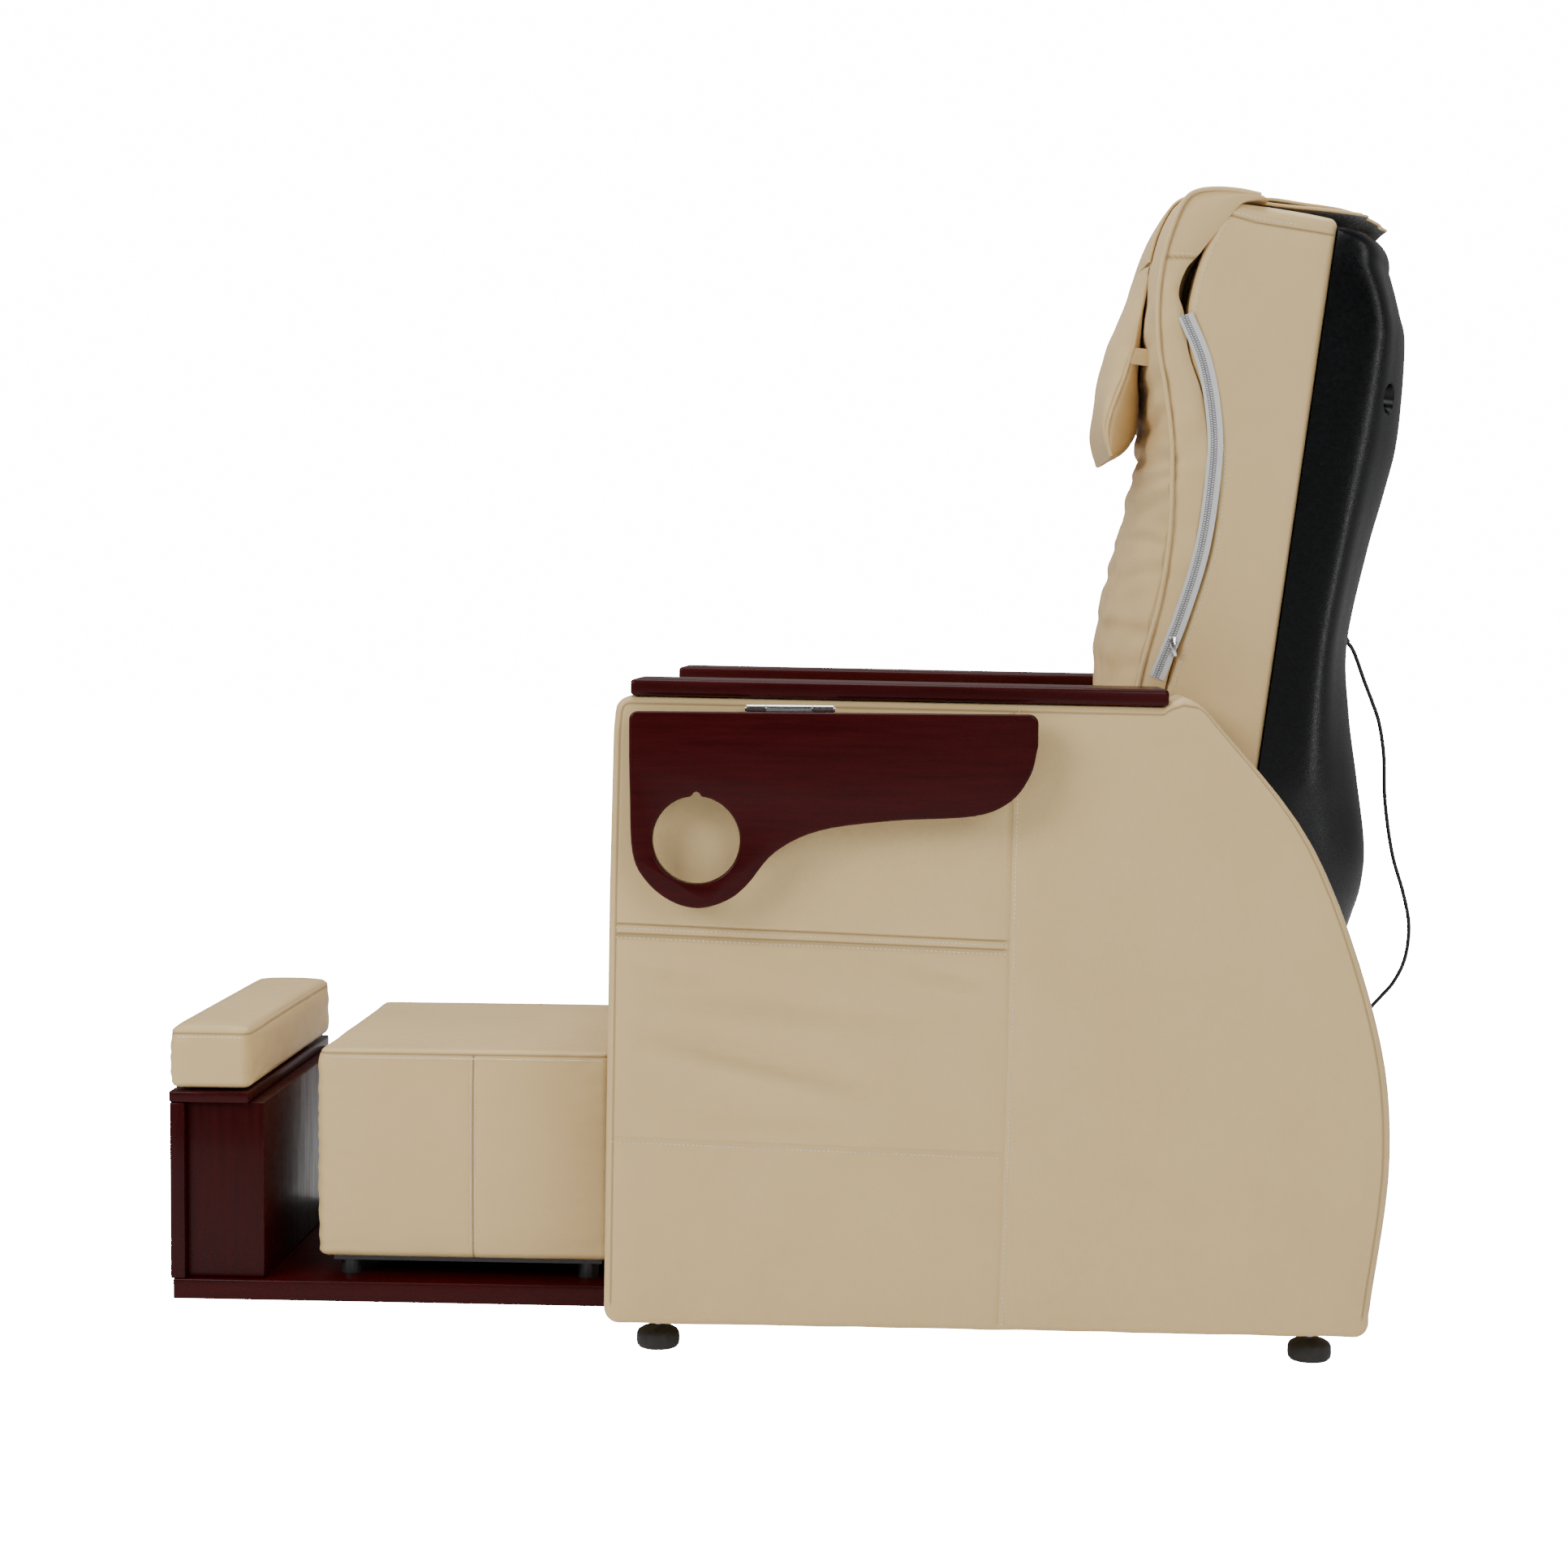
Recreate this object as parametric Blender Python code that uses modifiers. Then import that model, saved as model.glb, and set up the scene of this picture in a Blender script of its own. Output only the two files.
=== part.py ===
"""Salon massage chair: upholstered sides, reclining massage back, folding trays, stool and foot platform.

Metres, +Z up. The sitter faces -X, so +X is the back of the chair and -Y is the sitter's left.
The origin is on the floor, under the middle of the chair.
"""
import math

import bmesh
import bpy
from mathutils import Matrix, Vector

# Clearances
GAP = 0.0003  # left between two pieces that touch
RUNNING = 0.0003  # radial clearance of a turning fit

# Side units
SIDE_INNER = 0.25  # |y| of the inner and outer faces
SIDE_OUTER = 0.38
SIDE_FRONT = -0.197
SIDE_BOTTOM = 0.040
UPHOLSTERY_WALL = 0.012

# Arm boards: a board from front to back, falling slightly to the rear
ARM_FRONT = -0.168
ARM_REAR = 0.442
ARM_THICK = 0.019
ARM_UNDERSIDE = 0.766  # at the front end
ARM_FALL = math.radians(0.70)

# Levelling feet
FOOT_X = (-0.139, 0.620)
FOOT_Y = (SIDE_INNER + SIDE_OUTER) / 2
FOOT_R = 0.0255
FOOT_H = 0.022
STEM_R = 0.005
STEM_TOP = 0.088

# Folding trays
TRAY_THICK = 0.018
TRAY_INNER = 0.404  # |y| of the face towards the chair
TRAY_AXIS_Y = 0.395
TRAY_AXIS_Z = 0.752
BARREL_R = 0.0055
HINGE_PIN_R = 0.0026
HINGE_X = (-0.034, -0.0125, 0.0405, 0.064)  # ends of the outer and inner barrels
CUP_X = -0.089
CUP_Z = 0.605
CUP_R = 0.0495

# Seat
SEAT_FRONT = -0.185
SEAT_REAR = 0.345
DECK_BOTTOM = 0.400
DECK_THICK = 0.015
SEAT_TOP = 0.530
RAIL_THICK = 0.018

# Back: modelled upright about its pivot, then leaned
PIVOT = Vector((0.45, 0.0, 0.47))
LEAN = math.radians(7.3)
PIVOT_PIN_R = 0.008
BACK_HALF_WIDTH = 0.235
BOLSTER_INNER = 0.175
SHELL_FRONT = 0.082
SHELL_WALL = 0.003
BACK_BOTTOM = 0.062
PAD_REAR = -0.058  # the massage rollers work just behind this plane
UPRIGHT_Y = (0.149, 0.161)
BAR_X = (0.025, 0.065)
FRAME_TOP = 0.84
FRAME_BOTTOM = -0.03

# Massage mechanism
CARRIAGE_Z = 0.24
CARRIAGE_HALF = 0.07
CARRIAGE_X = (0.022, 0.075)
SCREW_X = 0.045
SCREW_R = 0.007
SHAFT_R = 0.006
ARM_Y = 0.066  # |y| of a massage arm's inner face
MASSAGE_ARM_THICK = 0.010
ROLLER_X = -0.020
ROLLER_Z = 0.062  # above and below the kneading shaft
ROLLER_R = 0.024
AXLE_R = 0.005
MOTOR_TOP = 0.075

# Recline actuator, from a pin under the seat to a lug under the back's pivot
ACTUATOR_BASE = Vector((0.05, 0.0, 0.28))
LUG_DROP = 0.11
ROD_R = 0.010

# Platform and stool
PLATFORM_HALF = 0.235
PLATFORM_FRONT = -0.737
PLATFORM_REAR = 0.05
BOARD_BOTTOM = 0.025
BOARD_TOP = 0.0497
SKID_Y = (0.100, 0.130)  # |y| of each skid's faces, set in from the platform's edge
PEDESTAL_TOP = 0.265
STOOL_X = (-0.563, -0.203)
STOOL_HALF = 0.215
STOOL_BOTTOM = 0.075
STOOL_TOP = 0.330

# Cable from the back's shell to the control box
CABLE_R = 0.0025
CABLE_STEP = 0.0125
CABLE_ROUTE = (
    (0.6935, 0.0, 0.8265), (0.6985, 0.0, 0.8205), (0.7040, 0.0, 0.8085), (0.7140, 0.0, 0.7810),
    (0.7250, 0.0, 0.7530), (0.7340, 0.0, 0.7270), (0.7405, 0.0, 0.6870), (0.7430, 0.0, 0.6310),
    (0.7530, 0.0, 0.5650), (0.7680, 0.0, 0.5140), (0.7760, 0.0, 0.4730), (0.7720, 0.0, 0.4320),
    (0.7580, 0.0, 0.4010), (0.7385, 0.0, 0.3780), (0.7160, 0.0, 0.3520), (0.6940, 0.0, 0.3230),
    (0.6680, 0.0, 0.2940), (0.6380, 0.0, 0.2700), (0.6080, 0.0, 0.2530), (0.5810, 0.0, 0.2400),
    (0.5600, 0.0, 0.2240), (0.5500, 0.0, 0.2060), (0.5480, 0.0, 0.1903),
)

MATERIALS = {
    "cream_leather": ((0.72, 0.64, 0.48), 0.5, 0.0),
    "cherry_wood": ((0.16, 0.01, 0.015), 0.3, 0.0),
    "black_shell": ((0.015, 0.016, 0.018), 0.4, 0.0),
    "black_rubber": ((0.02, 0.02, 0.02), 0.7, 0.0),
    "bright_steel": ((0.75, 0.75, 0.76), 0.2, 1.0),
    "grey_steel": ((0.30, 0.31, 0.33), 0.5, 0.8),
    "plywood": ((0.55, 0.40, 0.24), 0.8, 0.0),
    "grey_flap": ((0.45, 0.45, 0.44), 0.9, 0.0),
    "motor_black": ((0.03, 0.03, 0.035), 0.6, 0.0),
    "roller_grey": ((0.25, 0.25, 0.26), 0.6, 0.0),
}


# ---------------------------------------------------------------- scene helpers
def clear_scene():
    for obj in list(bpy.data.objects):
        bpy.data.objects.remove(obj, do_unlink=True)


def new_collection(name):
    collection = bpy.data.collections.new(name)
    bpy.context.scene.collection.children.link(collection)
    return collection


def new_material(name, colour, roughness, metallic):
    material = bpy.data.materials.new(name)
    material.use_nodes = True
    shader = material.node_tree.nodes["Principled BSDF"]
    shader.inputs["Base Color"].default_value = (*colour, 1.0)
    shader.inputs["Roughness"].default_value = roughness
    shader.inputs["Metallic"].default_value = metallic
    return material


clear_scene()
PARTS = new_collection("massage_chair")
CUTTERS = new_collection("massage_chair_cutters")
SLOTS = {name: new_material(name, *values) for name, values in MATERIALS.items()}


def new_axis(name, place, parent=None, turn=0.0):
    """An empty on a joint's axis, turned about Y, that carries the pieces of one body."""
    axis = bpy.data.objects.new(name, None)
    axis.empty_display_size = 0.05
    axis.location = place
    axis.rotation_euler = (0.0, turn, 0.0)
    axis.parent = parent
    PARTS.objects.link(axis)
    return axis


def new_object(name, data, slot, parent=None):
    obj = bpy.data.objects.new(name, data)
    obj.parent = parent
    if slot is None:
        CUTTERS.objects.link(obj)
        obj.hide_render = True
        obj.display_type = "WIRE"
    else:
        obj.data.materials.append(SLOTS[slot])
        PARTS.objects.link(obj)
    return obj


def bevel(obj, width, segments=2):
    modifier = obj.modifiers.new("rounded_edges", "BEVEL")
    modifier.width = width
    modifier.segments = segments
    modifier.limit_method = "ANGLE"
    modifier.angle_limit = math.radians(40)


def boolean(obj, tool, operation):
    modifier = obj.modifiers.new(operation.lower(), "BOOLEAN")
    modifier.operation = operation
    modifier.object = tool
    modifier.solver = "EXACT"


def box(name, low, high, slot, parent=None, rounding=0.0, segments=2):
    low, high = Vector(low), Vector(high)
    mesh = bpy.data.meshes.new(name)
    shape = bmesh.new()
    bmesh.ops.create_cube(shape, size=1.0)
    bmesh.ops.scale(shape, vec=high - low, verts=shape.verts)
    shape.to_mesh(mesh)
    shape.free()
    obj = new_object(name, mesh, slot, parent)
    obj.location = (low + high) / 2
    if rounding:
        bevel(obj, rounding, segments)
    return obj


def rod(name, start, end, radius, slot, parent=None, sides=20, end_radius=None):
    """A cylinder or cone between two points."""
    start, end = Vector(start), Vector(end)
    mesh = bpy.data.meshes.new(name)
    shape = bmesh.new()
    bmesh.ops.create_cone(
        shape, cap_ends=True, segments=sides, radius1=radius,
        radius2=radius if end_radius is None else end_radius, depth=(end - start).length,
    )
    turn = Vector((0, 0, 1)).rotation_difference(end - start).to_matrix()
    bmesh.ops.rotate(shape, cent=(0, 0, 0), matrix=turn, verts=shape.verts)
    shape.to_mesh(mesh)
    shape.free()
    mesh.shade_smooth()
    mesh.set_sharp_from_angle(angle=math.radians(35))
    obj = new_object(name, mesh, slot, parent)
    obj.location = (start + end) / 2
    return obj


def plate(name, outlines, y_low, y_high, slot, parent=None):
    """Flat outlines in X and Z, the first outside and the rest holes, extruded along Y."""
    curve = bpy.data.curves.new(name, "CURVE")
    curve.dimensions = "2D"
    curve.fill_mode = "BOTH"
    curve.extrude = (y_high - y_low) / 2
    for outline in outlines:
        spline = curve.splines.new("POLY")
        spline.points.add(len(outline) - 1)
        for point, (x, z) in zip(spline.points, outline):
            point.co = (x, z, 0.0, 1.0)
        spline.use_cyclic_u = True
    source = bpy.data.objects.new(name + "_outline", curve)
    source.rotation_euler = (math.pi / 2, 0.0, 0.0)
    source.location = (0.0, (y_low + y_high) / 2, 0.0)
    return mesh_from_curve(name, source, slot, parent)


def mesh_from_curve(name, source, slot, parent=None):
    """Turn a curve object into a mesh object whose caps are welded, and remove the curve."""
    CUTTERS.objects.link(source)
    bpy.context.view_layer.update()
    evaluated = source.evaluated_get(bpy.context.evaluated_depsgraph_get())
    mesh = bpy.data.meshes.new_from_object(evaluated)
    mesh.name = name
    place = source.matrix_world.copy()
    bpy.data.objects.remove(source, do_unlink=True)
    shape = bmesh.new()
    shape.from_mesh(mesh)
    bmesh.ops.remove_doubles(shape, verts=shape.verts, dist=1e-5)
    bmesh.ops.recalc_face_normals(shape, faces=shape.faces)
    if shape.calc_volume(signed=True) < 0:
        bmesh.ops.reverse_faces(shape, faces=shape.faces)
    shape.to_mesh(mesh)
    shape.free()
    mesh.materials.clear()
    obj = new_object(name, mesh, slot, parent)
    obj.matrix_local = place
    return obj


def turned(name, profile, centre, slot, parent=None, sides=24, along_y=False):
    """A turned solid: a profile of (radius, height) running down its outer side."""
    mesh = bpy.data.meshes.new(name)
    shape = bmesh.new()
    verts = [shape.verts.new((radius, 0.0, height)) for radius, height in profile]
    closed = profile[0][0] > 0.0
    for first, second in zip(verts, verts[1:] + verts[:1] if closed else verts[1:]):
        shape.edges.new((first, second))
    shape.to_mesh(mesh)
    shape.free()
    obj = new_object(name, mesh, slot, parent)
    obj.location = centre
    if along_y:
        obj.rotation_euler = (-math.pi / 2, 0.0, 0.0)
    modifier = obj.modifiers.new("turn", "SCREW")
    modifier.steps = sides
    modifier.render_steps = sides
    modifier.use_merge_vertices = True
    modifier.merge_threshold = 0.00005
    modifier.use_smooth_shade = True
    return obj


# ---------------------------------------------------------------- outline helpers
def arc(centre, radius, start, end, count):
    """Points on an arc in X and Z, angles in degrees from +X towards +Z."""
    angles = [math.radians(start + (end - start) * n / count) for n in range(count + 1)]
    return [(centre[0] + radius * math.cos(a), centre[1] + radius * math.sin(a)) for a in angles]


def smooth(points, per_span):
    """A Catmull-Rom curve through the points, whatever their dimension."""
    points = [Vector(p) for p in points]
    ends = [2 * points[0] - points[1], *points, 2 * points[-1] - points[-2]]
    curve = []
    for a, b, c, d in zip(ends, ends[1:], ends[2:], ends[3:]):
        for n in range(per_span):
            t = n / per_span
            curve.append(0.5 * (2 * b + t * (c - a) + t * t * (2 * a - 5 * b + 4 * c - d)
                                + t ** 3 * (3 * b - a - 3 * c + d)))
    return [tuple(p) for p in curve + [points[-1]]]


def inset(outline, distance):
    """A closed outline moved inwards; it runs anticlockwise in X and Z."""
    moved = []
    for before, here, after in zip(outline[-1:] + outline[:-1], outline, outline[1:] + outline[:1]):
        first = (Vector(here) - Vector(before)).normalized()
        second = (Vector(after) - Vector(here)).normalized()
        normals = [Vector((-d.y, d.x)) for d in (first, second)]
        middle = (normals[0] + normals[1]).normalized()
        moved.append(tuple(Vector(here) + middle * distance / max(middle.dot(normals[0]), 0.5)))
    return moved


def ribbon(line, thickness):
    """The outline of a thin sheet that follows a line, on the line's left side."""
    edges = [(Vector(b) - Vector(a)).normalized() for a, b in zip(line, line[1:])]
    edges = [edges[0], *edges, edges[-1]]
    other = []
    for point, before, after in zip(line, edges, edges[1:]):
        middle = (before + after).normalized()
        other.append(tuple(Vector(point) + Vector((-middle.y, middle.x)) * thickness))
    return list(line) + other[::-1]


def look_up(stations, height):
    """The value at a height, between the (height, value) stations."""
    for (z0, v0), (z1, v1) in zip(stations, stations[1:]):
        if height <= z1:
            return v0 + (v1 - v0) * (height - z0) / (z1 - z0)
    return stations[-1][1]


def arm_underside(x):
    return ARM_UNDERSIDE - math.tan(ARM_FALL) * (x - ARM_FRONT)


# ---------------------------------------------------------------- side units
REAR_CURVE = ((0.682, 0.085), (0.7, 0.25), (0.681, 0.4035), (0.607, 0.6005), (0.496, 0.741), (0.478, 0.761))


def side_outline():
    """The side unit seen from the side, anticlockwise in X and Z from its front bottom corner."""
    corner = 0.018
    under = 0.0006
    bottom = arc((SIDE_FRONT + corner, SIDE_BOTTOM + corner), corner, 180, 270, 4)
    rear_bottom = arc((0.654, SIDE_BOTTOM + 0.026), 0.026, 270, 350, 4)
    hump = [(0.461, 0.769), (0.450, 0.7665), (0.4435, 0.7620), (0.4435, arm_underside(0.4435) - under)]
    top = [(-0.172, arm_underside(-0.172) - under), (-0.180, 0.761), (-0.184, 0.750)]
    front = [(-0.188, 0.726), (-0.192, 0.540)]
    return bottom + rear_bottom + smooth(REAR_CURVE, 4) + hump + top + front


def core_outline(wall, bottom):
    """The side unit's outline without its small roundings, moved in by the wall and cut off at the bottom."""
    plain = [(SIDE_FRONT, bottom - wall), (0.665, bottom - wall), *smooth(REAR_CURVE, 2), (-0.183, 0.762)]
    return inset(plain, wall)


def side_unit(side, sign):
    faces = sorted((sign * SIDE_INNER, sign * SIDE_OUTER))
    cover = plate(side + "_side_upholstery", [side_outline()], *faces, "cream_leather")
    wall = UPHOLSTERY_WALL
    cavity = plate(side + "_side_cavity", [core_outline(wall, SIDE_BOTTOM - 0.01)], faces[0] + wall,
                   faces[1] - wall, None)
    boolean(cover, cavity, "DIFFERENCE")
    wall += GAP
    core = plate(side + "_side_core", [core_outline(wall, SIDE_BOTTOM + 0.002)], faces[0] + wall,
                 faces[1] - wall, "plywood")
    for x in FOOT_X:
        hole = rod(f"{side}_stem_hole_{x:.2f}", (x, sign * FOOT_Y, 0.0), (x, sign * FOOT_Y, STEM_TOP + 0.002),
                   STEM_R + RUNNING, None, sides=16)
        boolean(core, hole, "DIFFERENCE")


def arm_board(side, sign):
    length = ARM_REAR - ARM_FRONT
    width = SIDE_OUTER - SIDE_INNER
    board = box(side + "_arm_board", (-length / 2, -width / 2, -ARM_THICK / 2),
                (length / 2, width / 2, ARM_THICK / 2), "cherry_wood", rounding=0.004)
    middle = (ARM_FRONT + ARM_REAR) / 2
    board.location = (middle, sign * FOOT_Y, arm_underside(middle) + ARM_THICK / 2)
    board.rotation_euler = (0.0, ARM_FALL, 0.0)


def levelling_foot(name, x, y):
    profile = [(0.0, STEM_TOP), (STEM_R, STEM_TOP), (STEM_R, FOOT_H + 0.004), (0.011, FOOT_H + 0.003),
               (0.019, FOOT_H), (0.0235, FOOT_H - 0.003), (FOOT_R, FOOT_H - 0.008), (FOOT_R, 0.006),
               (0.0235, 0.001), (0.022, 0.0), (0.0, 0.0)]
    turned(name, profile, (x, y, 0.0), "black_rubber", sides=20)


# ---------------------------------------------------------------- trays
def tray_outline():
    """The tray seen from the side while it hangs, anticlockwise in X and Z."""
    top = 0.7495
    right = 0.294
    left = -0.165
    belly = smooth([(-0.164, 0.660), (-0.161, 0.591), (-0.146, 0.559), (-0.118, 0.536), (-0.086, 0.528),
                    (-0.054, 0.537), (-0.031, 0.555), (0.0, 0.592), (0.050, 0.617), (0.132, 0.629),
                    (0.223, 0.635), (0.264, 0.652), (0.286, 0.682)], 2)
    rear = arc((right - 0.010, top - 0.010), 0.010, 0, 90, 3)
    front = arc((left + 0.009, top - 0.009), 0.009, 90, 180, 3)
    return belly + [(right, 0.715)] + rear + front


def cup_hole():
    """The cup's round hole with a small notch at its top."""
    notch_r = 0.005
    notch_half = math.degrees(math.asin(notch_r / CUP_R))
    circle = arc((CUP_X, CUP_Z), CUP_R, 90 + notch_half, 450 - notch_half, 30)
    notch = arc((CUP_X, CUP_Z + CUP_R), notch_r, 0, 180, 4)
    return circle + notch[1:-1]


def tray(side, sign):
    axis = new_axis(side + "_tray_axis", (0.015, sign * TRAY_AXIS_Y, TRAY_AXIS_Z))
    shift = Vector((0.015, TRAY_AXIS_Z))
    outlines = [[tuple(Vector(p) - shift) for p in line] for line in (tray_outline(), cup_hole())]
    inner = sign * (TRAY_INNER - TRAY_AXIS_Y)
    faces = sorted((inner, inner + sign * TRAY_THICK))
    board = plate(side + "_tray", outlines, *faces, "cherry_wood", axis)
    bevel(board, 0.003, 1)
    tray_hinge(side, sign, axis)


def tray_hinge(side, sign, axis):
    """Two leaves whose barrels share a pin: one leaf on the side unit and one on the tray."""
    leaf = 0.0027
    ends = HINGE_X
    low = 0.700
    lip = TRAY_AXIS_Z - BARREL_R
    wall = sign * (SIDE_OUTER + GAP)
    inner_y = sorted((wall, wall + sign * leaf))
    fixed = box(side + "_hinge_leaf", (ends[0], inner_y[0], low), (ends[3], inner_y[1], lip + leaf), "bright_steel")
    tab_y = sorted((wall, sign * TRAY_AXIS_Y))
    for n, (start, end) in enumerate(((ends[0], ends[1]), (ends[2], ends[3]))):
        tab = box(f"{side}_fixed_tab_{n}", (start, tab_y[0], lip), (end, tab_y[1], lip + leaf), None)
        boolean(fixed, tab, "UNION")
        barrel = rod(f"{side}_fixed_barrel_{n}", (start, sign * TRAY_AXIS_Y, TRAY_AXIS_Z),
                     (end, sign * TRAY_AXIS_Y, TRAY_AXIS_Z), BARREL_R, None, sides=16)
        boolean(fixed, barrel, "UNION")
    bore = rod(side + "_fixed_bore", (ends[0] - 0.01, sign * TRAY_AXIS_Y, TRAY_AXIS_Z),
               (ends[3] + 0.01, sign * TRAY_AXIS_Y, TRAY_AXIS_Z), HINGE_PIN_R + RUNNING, None, sides=16)
    boolean(fixed, bore, "DIFFERENCE")
    rod(side + "_hinge_pin", (ends[0] - 0.002, sign * TRAY_AXIS_Y, TRAY_AXIS_Z),
        (ends[3] + 0.002, sign * TRAY_AXIS_Y, TRAY_AXIS_Z), HINGE_PIN_R, "bright_steel", sides=16)
    # the moving leaf is placed from the tray's own axis
    start, end = ends[1] + 0.0008 - 0.015, ends[2] - 0.0008 - 0.015
    face = sign * (TRAY_INNER - TRAY_AXIS_Y - GAP)
    leaf_y = sorted((face, face - sign * leaf))
    moving = box(side + "_tray_leaf", (start, leaf_y[0], low - TRAY_AXIS_Z), (end, leaf_y[1], 0.0015),
                 "bright_steel", axis)
    neck_y = sorted((face, sign * 0.003))
    neck = box(side + "_tray_neck", (start, neck_y[0], -0.0015), (end, neck_y[1], 0.0015), None, axis)
    boolean(moving, neck, "UNION")
    barrel = rod(side + "_tray_barrel", (start, 0, 0), (end, 0, 0), BARREL_R, None, axis, sides=16)
    boolean(moving, barrel, "UNION")
    bore = rod(side + "_tray_bore", (start - 0.01, 0, 0), (end + 0.01, 0, 0), HINGE_PIN_R + RUNNING, None,
               axis, sides=16)
    boolean(moving, bore, "DIFFERENCE")


# ---------------------------------------------------------------- seat and base
def seat():
    half = SIDE_INNER - GAP
    box("seat_deck", (SEAT_FRONT, -half, DECK_BOTTOM), (0.33, half, DECK_BOTTOM + DECK_THICK), "plywood")
    box("seat_cushion", (SEAT_FRONT - 0.004, -0.2445, DECK_BOTTOM + DECK_THICK + GAP),
        (SEAT_REAR, 0.2445, SEAT_TOP), "cream_leather", rounding=0.02)
    box("front_rail", (SEAT_FRONT, -half, 0.345), (SEAT_FRONT + RAIL_THICK, half, DECK_BOTTOM - GAP),
        "cream_leather", rounding=0.003, segments=1)
    box("rear_rail", (0.585, -half, 0.06), (0.585 + RAIL_THICK, half, 0.20), "plywood")


def control_box():
    case = box("control_box", (0.495, -0.10, 0.09), (0.585 - GAP, 0.10, 0.172), "motor_black", rounding=0.004,
               segments=1)
    end = Vector(CABLE_ROUTE[-1])
    gland = rod("control_gland", (end.x, 0, 0.165), (end.x, 0, end.z - GAP), 0.0075, None, sides=16,
                end_radius=0.005)
    boolean(case, gland, "UNION")


def recline_bracket(side, sign):
    """A plate on the side unit's inner face, with the stud that the back turns on."""
    half = 0.035
    cut = 0.010
    outline = [(-half, -half + cut), (-half + cut, -half), (half - cut, -half), (half, -half + cut),
               (half, half - cut), (half - cut, half), (-half + cut, half), (-half, half - cut)]
    outline = [(x + PIVOT.x, z + PIVOT.z) for x, z in outline]
    face = SIDE_INNER - GAP
    faces = sorted((sign * face, sign * (face - 0.005)))
    bracket = plate(side + "_recline_bracket", [outline], *faces, "grey_steel")
    stud = rod(side + "_recline_stud", (PIVOT.x, sign * (face - 0.003), PIVOT.z), (PIVOT.x, sign * 0.143, PIVOT.z),
               PIVOT_PIN_R, None, sides=24)
    boolean(bracket, stud, "UNION")


def actuator():
    """A linear actuator: its pin hangs under the seat deck and its rod pushes the back's lug."""
    lug = PIVOT + Vector((0, 0, -LUG_DROP))
    reach = lug - ACTUATOR_BASE
    turn = -math.atan2(reach.z, reach.x)
    pin_r = 0.005
    x, z = ACTUATOR_BASE.x, ACTUATOR_BASE.z
    clevis = box("actuator_clevis", (x - 0.045, -0.035, DECK_BOTTOM - GAP - 0.006),
                 (x + 0.045, 0.035, DECK_BOTTOM - GAP), "grey_steel")
    for n, sign in enumerate((-1, 1)):
        ear_y = sorted((sign * 0.018, sign * 0.024))
        ear = box(f"clevis_ear_{n}", (x - 0.014, ear_y[0], z - 0.014), (x + 0.014, ear_y[1], DECK_BOTTOM - 0.003),
                  None)
        boolean(clevis, ear, "UNION")
    boolean(clevis, rod("clevis_pin", (x, -0.026, z), (x, 0.026, z), pin_r, None, sides=20), "UNION")

    axis = new_axis("actuator_axis", ACTUATOR_BASE, turn=turn)
    body = box("actuator_body", (0.032, -0.030, -0.032), (0.122, 0.030, 0.032), "motor_black", axis, rounding=0.006,
               segments=1)
    boolean(body, box("actuator_neck", (0.0, -0.0165, -0.010), (0.04, 0.0165, 0.010), None, axis), "UNION")
    boolean(body, rod("actuator_eye", (0, -0.0165, 0), (0, 0.0165, 0), 0.014, None, axis, 20), "UNION")
    boolean(body, rod("actuator_tube", (0.115, 0, 0), (0.270, 0, 0), 0.018, None, axis, 20), "UNION")
    boolean(body, rod("actuator_eye_bore", (0, -0.02, 0), (0, 0.02, 0), pin_r + RUNNING, None, axis, 20),
            "DIFFERENCE")
    boolean(body, rod("actuator_rod_bore", (0.085, 0, 0), (0.280, 0, 0), ROD_R + RUNNING, None, axis, 20),
            "DIFFERENCE")

    end = reach.length
    push_rod = rod("actuator_rod", (0.15, 0, 0), (end - 0.030, 0, 0), ROD_R, "bright_steel", axis, 20)
    boolean(push_rod, box("fork_root", (end - 0.036, -0.015, -0.013), (end - 0.023, 0.015, 0.013), None, axis),
            "UNION")
    for n, sign in enumerate((-1, 1)):
        ear_y = sorted((sign * 0.0095, sign * 0.015))
        boolean(push_rod, box(f"fork_ear_{n}", (end - 0.026, ear_y[0], -0.013), (end + 0.013, ear_y[1], 0.013),
                              None, axis), "UNION")


# ---------------------------------------------------------------- back
REAR_PROFILE = ((-0.005, 0.225), (0.054, 0.237), (0.093, 0.243), (0.143, 0.240), (0.221, 0.220), (0.2985, 0.199),
                (0.384, 0.184), (0.498, 0.192), (0.569, 0.2015), (0.639, 0.208), (0.747, 0.201), (0.785, 0.189),
                (0.8315, 0.1695), (0.868, 0.149))
CREASE_PROFILE = ((-0.005, 0.120), (0.168, 0.138), (0.2275, 0.144), (0.3795, 0.141), (0.528, 0.146),
                  (0.7205, 0.152), (0.777, 0.147), (0.823, 0.131), (0.868, 0.112))
BOLSTER_FRONT = ((-0.033, 0.873), (-0.049, 0.857), (-0.070, 0.802), (-0.076, 0.745), (-0.069, 0.698),
                 (-0.052, 0.662), (-0.0245, 0.5995), (-0.014, 0.544), (-0.012, 0.468), (-0.025, 0.389),
                 (-0.0385, 0.306), (-0.045, 0.200), (-0.045, BACK_BOTTOM))
PAD_FRONT = ((-0.098, BACK_BOTTOM), (-0.100, 0.200), (-0.108, 0.294), (-0.114, 0.3475), (-0.114, 0.406),
             (-0.109, 0.470), (-0.106, 0.550), (-0.104, 0.595), (-0.122, 0.687), (-0.130, 0.792),
             (-0.115, 0.866), (-0.100, 0.883), (-0.077, 0.892), (-0.048, 0.895), (-0.014, 0.894))


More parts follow.
